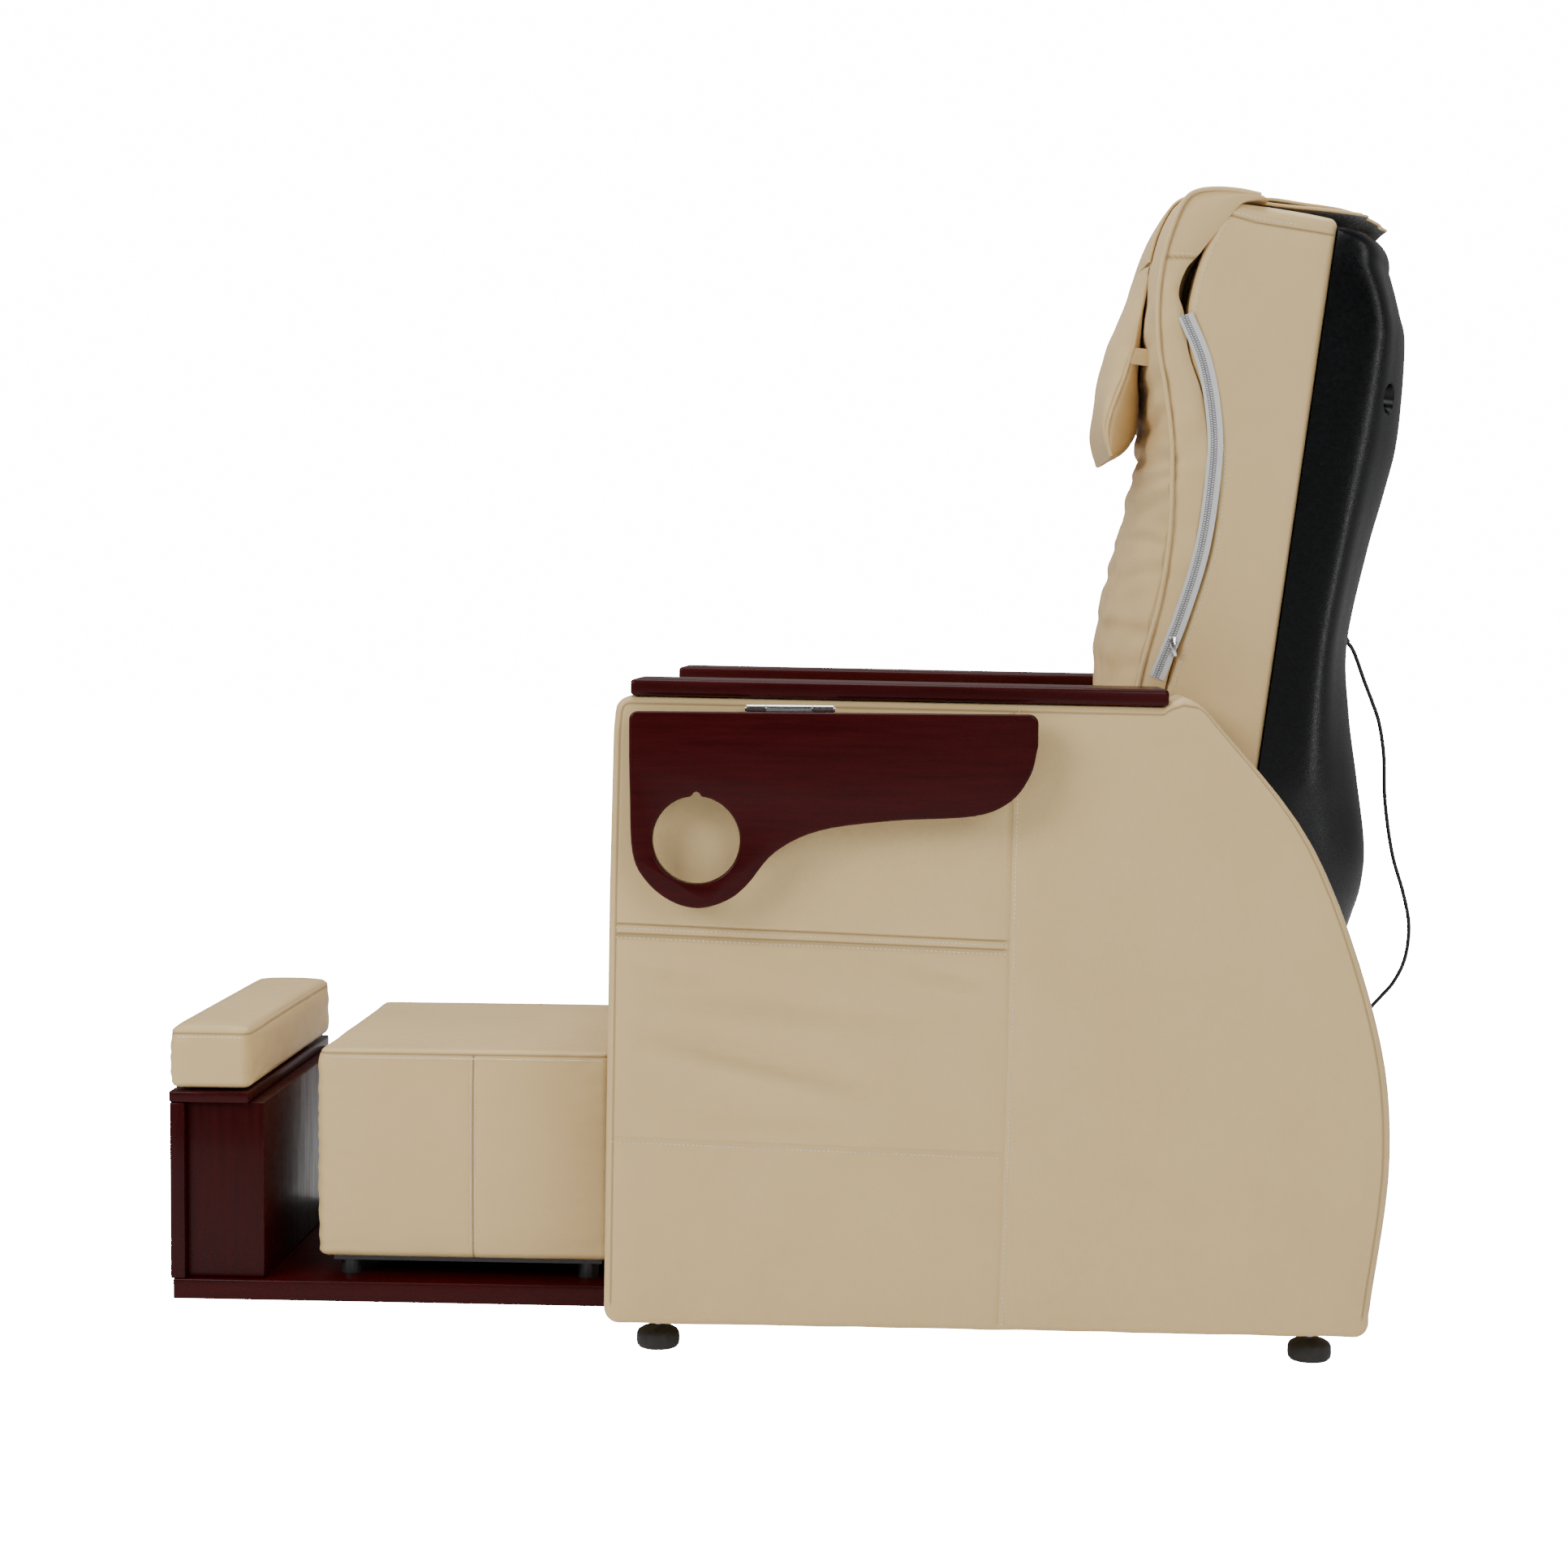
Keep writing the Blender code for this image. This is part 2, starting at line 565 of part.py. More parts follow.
def shell_section(height):
    """Points from the middle of the shell's rear out to its front edge, as (x, |y|)."""
    rear = look_up(REAR_PROFILE, height)
    crease = look_up(CREASE_PROFILE, height)
    return [(rear, 0.0), (rear, 0.085), (rear * 0.55 + crease * 0.45, 0.155), (crease, 0.203),
            (SHELL_FRONT, BACK_HALF_WIDTH)]


def back_shell(axis):
    """An open tub behind the back, from a grid that wraps round it, closed at its top and bottom."""
    heights = [0.0, 0.054, 0.110, 0.168, 0.2275, 0.2985, 0.384, 0.498, 0.569, 0.639, 0.7205, 0.777, 0.823, 0.856]
    rows = len(heights) + 1
    columns = 8
    mesh = bpy.data.meshes.new("back_shell")
    shape = bmesh.new()
    bmesh.ops.create_grid(shape, x_segments=columns, y_segments=rows, size=1.0)
    for vert in shape.verts:
        across = round((vert.co.x + 1) / 2 * columns) - columns // 2
        row = round((vert.co.y + 1) / 2 * rows)
        height = heights[min(max(row - 1, 0), len(heights) - 1)]
        x, y = shell_section(height)[abs(across)]
        if row in (0, rows):
            drop = 0.018 * (abs(across) / 4) ** 2
            x, height = SHELL_FRONT, (0.876 - drop if row else -0.004)
            y = min(y, 0.231)
        vert.co = (x, math.copysign(y, across) if across else 0.0, height)
    bmesh.ops.recalc_face_normals(shape, faces=shape.faces)
    if sum(face.normal.x * face.calc_area() for face in shape.faces) < 0:
        bmesh.ops.reverse_faces(shape, faces=shape.faces)
    bmesh.ops.solidify(shape, geom=shape.faces[:], thickness=SHELL_WALL)
    for vert in shape.verts:
        vert.co.x = max(vert.co.x, SHELL_FRONT)
    if shape.calc_volume(signed=True) < 0:
        bmesh.ops.reverse_faces(shape, faces=shape.faces)
    shape.to_mesh(mesh)
    shape.free()
    shell = new_object("back_shell", mesh, "black_shell", axis)
    for n, sign in enumerate((-1, 1)):
        hole = rod(f"screw_recess_{n}", (0.12, sign * 0.160, 0.678), (0.26, sign * 0.160, 0.678), 0.0195, None, axis,
                   sides=20)
        boolean(shell, hole, "DIFFERENCE")


def bolster(side, sign, axis):
    outline = [(0.0815, BACK_BOTTOM), (0.0815, 0.850), (0.072, 0.863), (0.024, 0.873), *BOLSTER_FRONT]
    faces = sorted((sign * BOLSTER_INNER, sign * BACK_HALF_WIDTH))
    plate(side + "_bolster", [outline], *faces, "cream_leather", axis)


def back_pad(axis):
    """The massage pad: a slab over the full width, with deeper side gussets in front of the bolsters."""
    clear = 0.0012
    top_rear = [(x - clear, z + clear) for x, z in BOLSTER_FRONT[:5]]
    half = BACK_HALF_WIDTH - 0.003
    slab = [*PAD_FRONT, (-0.014, 0.876), (-0.036, 0.876), *top_rear, (PAD_REAR, 0.650), (PAD_REAR, BACK_BOTTOM)]
    pad = plate("back_pad", [slab], -half, half, "cream_leather", axis)
    side_rear = [(x - clear, z) for x, z in BOLSTER_FRONT[5:]]
    gusset = [(PAD_REAR - 0.010, 0.655), *side_rear, (PAD_REAR - 0.010, BACK_BOTTOM)]
    for n, sign in enumerate((-1, 1)):
        faces = sorted((sign * (BOLSTER_INNER + 0.003), sign * half))
        boolean(pad, plate(f"pad_gusset_{n}", [gusset], *faces, None, axis), "UNION")


def flaps(axis):
    """The two straps of fabric that lie over the top: the pad's own flap and the pillow's flap above it."""
    lower = [(-0.0135, 0.8790), (0.030, 0.8795), (0.080, 0.8810), (0.121, 0.8815)]
    plate("pad_flap", [ribbon(lower, 0.003)], -0.20, 0.20, "grey_flap", axis)
    upper = [(-0.1345, 0.8005), (-0.1265, 0.8450), (-0.1190, 0.8690), (-0.1025, 0.8870), (-0.0780, 0.8960),
             (-0.0480, 0.8985), (0.0, 0.8980), (0.0800, 0.8945), (0.1195, 0.8865), (0.1510, 0.8740)]
    plate("pillow_flap", [ribbon(upper, 0.0028)], -0.15, 0.15, "cream_leather", axis)


def pillow(back_axis):
    hinge = Vector((-0.1350, 0.0, 0.7990))
    axis = new_axis("pillow_axis", hinge, back_axis)
    outline = [(-0.1325, 0.7960), (-0.1415, 0.779), (-0.158, 0.723), (-0.167, 0.6635), (-0.165, 0.625),
               (-0.159, 0.5865), (-0.1505, 0.560), (-0.140, 0.562), (-0.1225, 0.577), (-0.110, 0.595),
               (-0.1100, 0.606), (-0.1245, 0.687)]
    outline = [(x - hinge.x, z - hinge.z) for x, z in outline]
    plate("head_pillow", [outline], -0.15, 0.15, "cream_leather", axis)


def back_frame(axis):
    """Two uprights on the recline studs, with a bar across the top and the bottom."""
    outline = [(-0.022, FRAME_BOTTOM), (BAR_X[1], FRAME_BOTTOM), (BAR_X[1], FRAME_TOP), (BAR_X[0], FRAME_TOP),
               (BAR_X[0], 0.055), (-0.022, 0.022)]
    hole = arc((0, 0), PIVOT_PIN_R + RUNNING, 0, 345, 23)
    for side, sign in (("left", -1), ("right", 1)):
        faces = sorted((sign * UPRIGHT_Y[0], sign * UPRIGHT_Y[1]))
        plate(side + "_back_upright", [outline, hole], *faces, "grey_steel", axis)
    half = UPRIGHT_Y[0] - GAP
    box("top_crossbar", (BAR_X[0], -half, FRAME_TOP - 0.02), (BAR_X[1], half, FRAME_TOP), "grey_steel", axis)
    bottom = box("bottom_crossbar", (BAR_X[0], -half, FRAME_BOTTOM), (BAR_X[1], half, 0.0), "grey_steel", axis)
    lug_x, lug_z = LUG_DROP * math.sin(LEAN), -LUG_DROP * math.cos(LEAN)
    lug_line = [(BAR_X[1] - 0.005, -0.025), (BAR_X[0] + 0.002, -0.025), (lug_x - 0.013, lug_z + 0.004),
                *arc((lug_x, lug_z), 0.013, 180, 330, 6)]
    boolean(bottom, plate("lug_plate", [lug_line], -0.005, 0.005, None, axis), "UNION")
    boolean(bottom, rod("lug_boss", (lug_x, -0.007, lug_z), (lug_x, 0.007, lug_z), 0.010, None, axis), "UNION")


def shell_gland(axis):
    """The rubber boss where the cable leaves the shell, pointing down and back along the cable."""
    exit_point = Vector(CABLE_ROUTE[0])
    along = (Vector(CABLE_ROUTE[1]) - exit_point).normalized()
    to_back = axis_matrix().inverted()
    tip = to_back @ (exit_point - along * GAP)
    root = to_back @ (exit_point - along * 0.0085)
    rod("shell_gland", root, tip, 0.0050, "black_rubber", axis, sides=12, end_radius=0.0042)


def axis_matrix():
    return Matrix.Translation(PIVOT) @ Matrix.Rotation(LEAN, 4, "Y")


# ---------------------------------------------------------------- massage mechanism
def lift_drive(axis):
    rod("lift_motor", (SCREW_X, 0, GAP), (SCREW_X, 0, MOTOR_TOP), 0.026, "motor_black", axis, 20)
    screw_axis = new_axis("lift_screw_axis", (SCREW_X, 0, MOTOR_TOP), axis)
    rod("lift_screw", (0, 0, GAP), (0, 0, FRAME_TOP - 0.02 - GAP - MOTOR_TOP), SCREW_R, "bright_steel",
        screw_axis, 16)


def carriage(back_axis):
    axis = new_axis("carriage_axis", (0, 0, CARRIAGE_Z), back_axis)
    half = UPRIGHT_Y[0] - 0.001
    block = box("carriage", (CARRIAGE_X[0], -half, -CARRIAGE_HALF), (CARRIAGE_X[1], half, CARRIAGE_HALF),
                "grey_steel", axis)
    for n, sign in enumerate((-1, 1)):
        ear_y = sorted((sign * 0.112, sign * 0.122))
        ear = box(f"carriage_ear_{n}", (-0.013, ear_y[0], -0.013), (CARRIAGE_X[0] + 0.004, ear_y[1], 0.013), None,
                  axis)
        boolean(block, ear, "UNION")
    screw_hole = rod("screw_hole", (SCREW_X, 0, -0.1), (SCREW_X, 0, 0.1), SCREW_R + 0.0008, None, axis, 16)
    boolean(block, screw_hole, "DIFFERENCE")
    shaft_hole = rod("shaft_hole", (0, -0.13, 0), (0, 0.13, 0), SHAFT_R + RUNNING, None, axis, 20)
    boolean(block, shaft_hole, "DIFFERENCE")
    rod("kneading_shaft", (0, -0.125, 0), (0, 0.125, 0), SHAFT_R, "bright_steel", axis, 20)
    motor_r = 0.028
    centre = CARRIAGE_X[1] + GAP + motor_r
    rod("kneading_motor", (centre, -0.06, 0), (centre, 0.06, 0), motor_r, "motor_black", axis, 20)
    for side, sign in (("left", -1), ("right", 1)):
        massage_arm(side, sign, axis)


def massage_arm(side, sign, carriage_axis):
    axis = new_axis(side + "_arm_axis", (0, 0, 0), carriage_axis)
    tip = 0.012
    upper = arc((ROLLER_X, ROLLER_Z), tip, 40, 200, 4)
    lower = arc((ROLLER_X, -ROLLER_Z), tip, 160, 320, 4)
    outline = [*upper, (-0.014, 0.0), *lower, (0.014, -0.012), (0.014, 0.012)]
    bore = arc((0, 0), SHAFT_R + RUNNING, 0, 342, 19)
    faces = sorted((sign * ARM_Y, sign * (ARM_Y + MASSAGE_ARM_THICK)))
    arm = plate(side + "_massage_arm", [outline, bore], *faces, "grey_steel", axis)
    outer = ARM_Y + MASSAGE_ARM_THICK
    width = 0.024
    for level, height in (("upper", ROLLER_Z), ("lower", -ROLLER_Z)):
        axle = rod(f"{side}_{level}_axle", (ROLLER_X, sign * (outer - 0.003), height),
                   (ROLLER_X, sign * (outer + width + 0.004), height), AXLE_R, None, axis, 16)
        boolean(arm, axle, "UNION")
        roller_axis = new_axis(f"{side}_{level}_roller_axis", (ROLLER_X, 0, height), axis)
        half = width / 2
        profile = [(AXLE_R + RUNNING, half), (ROLLER_R - 0.006, half), (ROLLER_R - 0.0015, half - 0.004),
                   (ROLLER_R, 0.0), (ROLLER_R - 0.0015, -half + 0.004), (ROLLER_R - 0.006, -half),
                   (AXLE_R + RUNNING, -half)]
        turned(f"{side}_{level}_roller", profile, (0, sign * (outer + 0.0015 + half), 0), "roller_grey",
               roller_axis, sides=20, along_y=True)


# ---------------------------------------------------------------- platform and stool
def platform():
    axis = new_axis("platform_axis", (PLATFORM_FRONT, 0, 0))

    def piece(name, low, high, slot, **rounding):
        offset = Vector((PLATFORM_FRONT, 0, 0))
        return box(name, Vector(low) - offset, Vector(high) - offset, slot, axis, **rounding)

    base = piece("platform_base", (PLATFORM_FRONT, -PLATFORM_HALF, BOARD_BOTTOM),
                 (PLATFORM_REAR, PLATFORM_HALF, BOARD_TOP), "cherry_wood")
    for n, sign in enumerate((-1, 1)):
        skid_y = sorted((sign * SKID_Y[0], sign * SKID_Y[1]))
        skid = piece(f"platform_skid_{n}", (PLATFORM_FRONT + 0.02, skid_y[0], 0.0),
                     (PLATFORM_REAR - 0.02, skid_y[1], BOARD_BOTTOM + 0.005), None)
        boolean(base, skid, "UNION")
    floor = BOARD_TOP + GAP
    piece("pedestal_front_board", (-0.740, -PLATFORM_HALF, floor), (-0.722, PLATFORM_HALF, PEDESTAL_TOP - GAP),
          "cherry_wood", rounding=0.0015, segments=1)
    wall = 0.015
    low, high = Vector((-0.7215, -0.225, floor)), Vector((-0.627, 0.225, PEDESTAL_TOP - GAP))
    pedestal = piece("pedestal_box", low, high, "cherry_wood")
    inside = piece("pedestal_hollow", low + Vector((wall, wall, -wall)), high - Vector((wall, wall, wall)), None)
    boolean(pedestal, inside, "DIFFERENCE")
    piece("pedestal_top_board", (-0.741, -PLATFORM_HALF, PEDESTAL_TOP), (-0.6435, PLATFORM_HALF, 0.279),
          "cherry_wood", rounding=0.002, segments=1)
    piece("foot_cushion", (-0.7425, -PLATFORM_HALF, 0.279 + GAP), (-0.640, PLATFORM_HALF, 0.355),
          "cream_leather", rounding=0.012)
    stool(axis)


def stool(platform_axis):
    centre = sum(STOOL_X) / 2
    axis = new_axis("stool_axis", (centre - PLATFORM_FRONT, 0, BOARD_TOP), platform_axis)
    half = (STOOL_X[1] - STOOL_X[0]) / 2
    low = STOOL_BOTTOM - BOARD_TOP
    box("stool_upholstery", (-half, -STOOL_HALF, low), (half, STOOL_HALF, STOOL_TOP - BOARD_TOP),
        "cream_leather", axis, rounding=0.014)
    base = box("stool_base", (-half + 0.016, -STOOL_HALF + 0.016, low - 0.006),
               (half - 0.016, STOOL_HALF - 0.016, low - GAP), "motor_black", axis)
    foot_r = 0.0125
    for n, (along, across) in enumerate(((-1, -1), (-1, 1), (1, -1), (1, 1))):
        x = along * (half - 0.034)
        y = across * (STOOL_HALF - 0.034)
        foot = rod(f"stool_foot_{n}", (x, y, GAP), (x, y, low - 0.003), foot_r, None, axis, sides=16)
        boolean(base, foot, "UNION")


# ---------------------------------------------------------------- cable
def back_cable():
    """The cable from the shell's gland to the control box, on one smooth curve."""
    fine = [Vector(p) for p in smooth(CABLE_ROUTE, 12)]
    points, travelled = [fine[0]], 0.0
    for before, here in zip(fine, fine[1:]):
        travelled += (here - before).length
        if travelled >= CABLE_STEP:
            points.append(here)
            travelled = 0.0
    if travelled:
        points[-1 if travelled < CABLE_STEP / 2 else len(points):] = [fine[-1]]
    curve = bpy.data.curves.new("back_cable", "CURVE")
    curve.dimensions = "3D"
    curve.bevel_depth = CABLE_R
    curve.bevel_resolution = 2
    curve.use_fill_caps = True
    spline = curve.splines.new("POLY")
    spline.points.add(len(points) - 1)
    for point, place in zip(spline.points, points):
        point.co = (*place, 1.0)
    new_object("back_cable", curve, "black_rubber")


def build():
    for side, sign in (("left", -1), ("right", 1)):
        side_unit(side, sign)
        arm_board(side, sign)
        tray(side, sign)
        recline_bracket(side, sign)
        for end, x in zip(("front", "rear"), FOOT_X):
            levelling_foot(f"{side}_{end}_foot", x, sign * FOOT_Y)
    seat()
    control_box()
    actuator()
    back_axis = new_axis("recline_axis", PIVOT, turn=LEAN)
    back_shell(back_axis)
    for side, sign in (("left", -1), ("right", 1)):
        bolster(side, sign, back_axis)
    back_pad(back_axis)
    flaps(back_axis)
    pillow(back_axis)
    back_frame(back_axis)
    shell_gland(back_axis)
    lift_drive(back_axis)
    carriage(back_axis)
    platform()
    back_cable()


build()
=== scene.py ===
import math
import bmesh
import bpy
import numpy as np
from mathutils import Matrix, Vector, noise


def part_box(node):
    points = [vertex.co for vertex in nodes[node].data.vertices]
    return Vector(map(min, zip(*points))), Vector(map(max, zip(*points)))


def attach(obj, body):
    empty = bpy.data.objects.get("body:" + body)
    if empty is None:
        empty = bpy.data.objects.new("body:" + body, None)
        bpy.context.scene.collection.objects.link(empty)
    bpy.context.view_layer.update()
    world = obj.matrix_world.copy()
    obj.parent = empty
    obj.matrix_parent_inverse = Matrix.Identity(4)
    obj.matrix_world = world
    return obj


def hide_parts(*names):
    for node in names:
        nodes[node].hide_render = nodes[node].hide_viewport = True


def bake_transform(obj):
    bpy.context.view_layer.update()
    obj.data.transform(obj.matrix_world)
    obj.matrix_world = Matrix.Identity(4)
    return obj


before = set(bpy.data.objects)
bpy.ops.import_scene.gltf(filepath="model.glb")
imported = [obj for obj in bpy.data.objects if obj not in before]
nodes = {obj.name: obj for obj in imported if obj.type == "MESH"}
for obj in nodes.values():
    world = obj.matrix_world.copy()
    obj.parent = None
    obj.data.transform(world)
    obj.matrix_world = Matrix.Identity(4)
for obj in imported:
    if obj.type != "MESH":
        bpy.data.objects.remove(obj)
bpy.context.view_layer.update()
print("frame loaded")


# ---- camera, floor and lights
camera = {
    "place": (0.177, -3.68, 0.873),
    "lens": 66.9,
    "left": 2.934,    # degrees turned to the left
    "down": 3.570,
    "roll": 0.4,
}


studio = {
    "room": 0.05, "backdrop": 0.30, "seen": 16.0,
    "floorGlow": (0.22, 24.0),
    "lights": (
        ("keyLight", (-2.9, -2.9, 2.7), (0, 0, 0.55), (2.2, 2.0), 138),
        ("fillLight", (1.9, -3.5, 2.3), (0.2, 0, 0.7), (1.6, 1.8), 58),
        ("topLight", (0.1, 0.1, 3.2), (0.1, 0, 0.5), (3.0, 2.0), 92),
        ("stripLight", (3.1, -0.25, 1.15), (0.7, -0.15, 0.9), (0.14, 1.9), 11),
    ),
}


def addCamera(made):
    data = bpy.data.cameras.new("camera")
    data.lens = made["lens"]
    data.sensor_width = 36
    view = bpy.data.objects.new("camera", data)
    bpy.context.scene.collection.objects.link(view)
    turn = Matrix.Rotation(math.radians(made["left"]), 4, "Z")
    tilt = Matrix.Rotation(math.radians(90 - made["down"]), 4, "X")
    roll = Matrix.Rotation(math.radians(made["roll"]), 4, "Z")
    view.matrix_world = Matrix.Translation(made["place"]) @ turn @ tilt @ roll
    bpy.context.scene.camera = view


def addLight(name, place, aim, size, power):
    data = bpy.data.lights.new(name, "AREA")
    data.shape = "RECTANGLE"
    data.size, data.size_y = size
    data.energy = power
    lamp = bpy.data.objects.new(name, data)
    bpy.context.scene.collection.objects.link(lamp)
    lamp.location = place
    lamp.rotation_euler = (Vector(aim) - Vector(place)).to_track_quat("-Z", "Y").to_euler()


def addStage():
    bpy.ops.object.select_all(action="DESELECT")
    bpy.ops.mesh.primitive_plane_add(size=40, location=(0, 0, -0.0005))
    floor = bpy.context.object
    floor.name = "studioFloor"
    paint = bpy.data.materials.new("studioFloor")
    paint.use_nodes = True
    shader = paint.node_tree.nodes["Principled BSDF"]
    shader.inputs["Base Color"].default_value = (0.92, 0.92, 0.92, 1)
    shader.inputs["Roughness"].default_value = 0.9
    shader.inputs["Specular IOR Level"].default_value = 0.1
    shader.inputs["Emission Color"].default_value = (1, 1, 1, 1)
    seen = paint.node_tree.nodes.new("ShaderNodeLightPath")
    glow = paint.node_tree.nodes.new("ShaderNodeMapRange")
    low, high = studio["floorGlow"]
    glow.inputs["To Min"].default_value = low
    glow.inputs["To Max"].default_value = high
    paint.node_tree.links.new(seen.outputs["Is Camera Ray"], glow.inputs["Value"])
    paint.node_tree.links.new(glow.outputs["Result"], shader.inputs["Emission Strength"])
    floor.data.materials.append(paint)
    world = bpy.context.scene.world or bpy.data.worlds.new("studio")
    bpy.context.scene.world = world
    world.use_nodes = True
    tree = world.node_tree
    sky = tree.nodes["Background"]
    sky.inputs["Color"].default_value = (1, 1, 1, 1)
    coords = tree.nodes.new("ShaderNodeTexCoord")
    split = tree.nodes.new("ShaderNodeSeparateXYZ")
    tree.links.new(coords.outputs["Generated"], split.inputs["Vector"])
    drop = tree.nodes.new("ShaderNodeMapRange")    # a white backdrop behind, a dim room in front
    for socket, value in (("From Min", -0.2), ("From Max", 0.6), ("To Min", studio["room"]),
                          ("To Max", studio["backdrop"])):
        drop.inputs[socket].default_value = value
    tree.links.new(split.outputs["Y"], drop.inputs["Value"])
    path = tree.nodes.new("ShaderNodeLightPath")
    seen = tree.nodes.new("ShaderNodeMix")
    seen.inputs[3].default_value = studio["seen"]
    tree.links.new(path.outputs["Is Camera Ray"], seen.inputs[0])
    tree.links.new(drop.outputs["Result"], seen.inputs[2])
    tree.links.new(seen.outputs[0], sky.inputs["Strength"])
    for name, place, aim, size, power in studio["lights"]:
        addLight(name, place, aim, size, power)


addCamera(camera)
addStage()


# ---- the cable, laid where the frame has it
cable = {
    "diameter": 0.005,
    "route": (
        (0.6935, 0.0, 0.8265), (0.6985, 0.0, 0.8205), (0.7040, 0.0, 0.8085), (0.7140, 0.0, 0.7810),
        (0.7250, 0.0, 0.7530), (0.7340, 0.0, 0.7270), (0.7405, 0.0, 0.6870), (0.7430, 0.0, 0.6310),
        (0.7530, 0.0, 0.5650), (0.7680, 0.0, 0.5140), (0.7760, 0.0, 0.4730), (0.7720, 0.0, 0.4320),
        (0.7580, 0.0, 0.4010), (0.7385, 0.0, 0.3780), (0.7160, 0.0, 0.3520), (0.6940, 0.0, 0.3230),
        (0.6680, 0.0, 0.2940), (0.6380, 0.0, 0.2700), (0.6080, 0.0, 0.2530), (0.5810, 0.0, 0.2400),
        (0.5600, 0.0, 0.2240), (0.5500, 0.0, 0.2060), (0.5480, 0.0, 0.1903),
    ),
}


def smoothLine(points, perSpan):
    # a Catmull-Rom curve through points of any dimension
    pts = [np.array(p, float) for p in points]
    ends = [2 * pts[0] - pts[1]] + pts + [2 * pts[-1] - pts[-2]]
    line = []
    for a, b, c, d in zip(ends, ends[1:], ends[2:], ends[3:]):
        for n in range(perSpan):
            t = n / perSpan
            line.append(0.5 * (2 * b + t * (c - a) + t * t * (2 * a - 5 * b + 4 * c - d)
                               + t ** 3 * (3 * b - a - 3 * c + d)))
    return np.array(line + [pts[-1]])


# ---- materials
leatherLook = {
    # crease: a painted shade colour, darkening the leather in seams and creases
    "light": (0.645, 0.468, 0.225), "dark": (0.612, 0.438, 0.206), "crease": (0.230, 0.140, 0.050),
    "roughness": 0.44, "grain": 620, "grainDepth": 0.10, "rumple": 34, "rumpleDepth": 0.05, "specular": 0.28,
}
woodLook = {
    "light": (0.040, 0.0009, 0.0012), "dark": (0.027, 0.0008, 0.0010), "pore": (0.016, 0.0006, 0.0008),
    "roughness": 0.34, "coat": 0.07, "coatRoughness": 0.09, "specular": 0.10,
}
shellLook = {
    "colour": (0.0022, 0.0024, 0.0027), "roughness": 0.33, "gloss": (0.25, 0.33), "specular": 0.20,
    "grain": 900, "grainDepth": 0.05,
}


def newMaterial(name, colour, roughness, metallic=0.0):
    made = bpy.data.materials.new(name)
    made.use_nodes = True
    shader = made.node_tree.nodes["Principled BSDF"]
    shader.inputs["Base Color"].default_value = (*colour, 1)
    shader.inputs["Roughness"].default_value = roughness
    shader.inputs["Metallic"].default_value = metallic
    return made, made.node_tree, shader


def objectPlace(tree, scale=(1, 1, 1), turn=(0, 0, 0)):
    coords = tree.nodes.new("ShaderNodeTexCoord")
    mapping = tree.nodes.new("ShaderNodeMapping")
    mapping.inputs["Scale"].default_value = scale
    mapping.inputs["Rotation"].default_value = turn
    tree.links.new(coords.outputs["Object"], mapping.inputs["Vector"])
    return mapping.outputs["Vector"]


def noiseNode(tree, place, scale, detail=3.0, roughness=0.5):
    made = tree.nodes.new("ShaderNodeTexNoise")
    made.inputs["Scale"].default_value = scale
    made.inputs["Detail"].default_value = detail
    made.inputs["Roughness"].default_value = roughness
    tree.links.new(place, made.inputs["Vector"])
    return made.outputs["Fac"]


def cellNode(tree, place, scale, feature="DISTANCE_TO_EDGE"):
    made = tree.nodes.new("ShaderNodeTexVoronoi")
    made.feature = feature
    made.inputs["Scale"].default_value = scale
    tree.links.new(place, made.inputs["Vector"])
    return made.outputs["Distance"]


def rampNode(tree, value, stops):
    ramp = tree.nodes.new("ShaderNodeValToRGB")
    band = ramp.color_ramp
    while len(band.elements) < len(stops):
        band.elements.new(0.5)
    for element, (at, colour) in zip(band.elements, stops):
        element.position = at
        element.color = (*colour, 1)
    tree.links.new(value, ramp.inputs["Fac"])
    return ramp.outputs["Color"]


def mixColour(tree, factor, first, second, blend="MIX"):
    made = tree.nodes.new("ShaderNodeMix")
    made.data_type = "RGBA"
    made.blend_type = blend
    for socket, value in ((made.inputs[0], factor), (made.inputs[6], first), (made.inputs[7], second)):
        if isinstance(value, bpy.types.NodeSocket):
            tree.links.new(value, socket)
        elif isinstance(value, float):
            socket.default_value = value
        else:
            socket.default_value = (*value, 1)
    return made.outputs[2]


def rangeNode(tree, value, low, high, fromLow=0.0, fromHigh=1.0):
    made = tree.nodes.new("ShaderNodeMapRange")
    made.inputs["From Min"].default_value = fromLow
    made.inputs["From Max"].default_value = fromHigh
    made.inputs["To Min"].default_value = low
    made.inputs["To Max"].default_value = high
    tree.links.new(value, made.inputs["Value"])
    return made.outputs["Result"]


def bumpNode(tree, shader, height, strength, distance, below=None):
    made = tree.nodes.new("ShaderNodeBump")
    made.inputs["Strength"].default_value = strength
    made.inputs["Distance"].default_value = distance
    tree.links.new(height, made.inputs["Height"])
    if below:
        tree.links.new(below, made.inputs["Normal"])
    tree.links.new(made.outputs["Normal"], shader.inputs["Normal"])
    return made.outputs["Normal"]


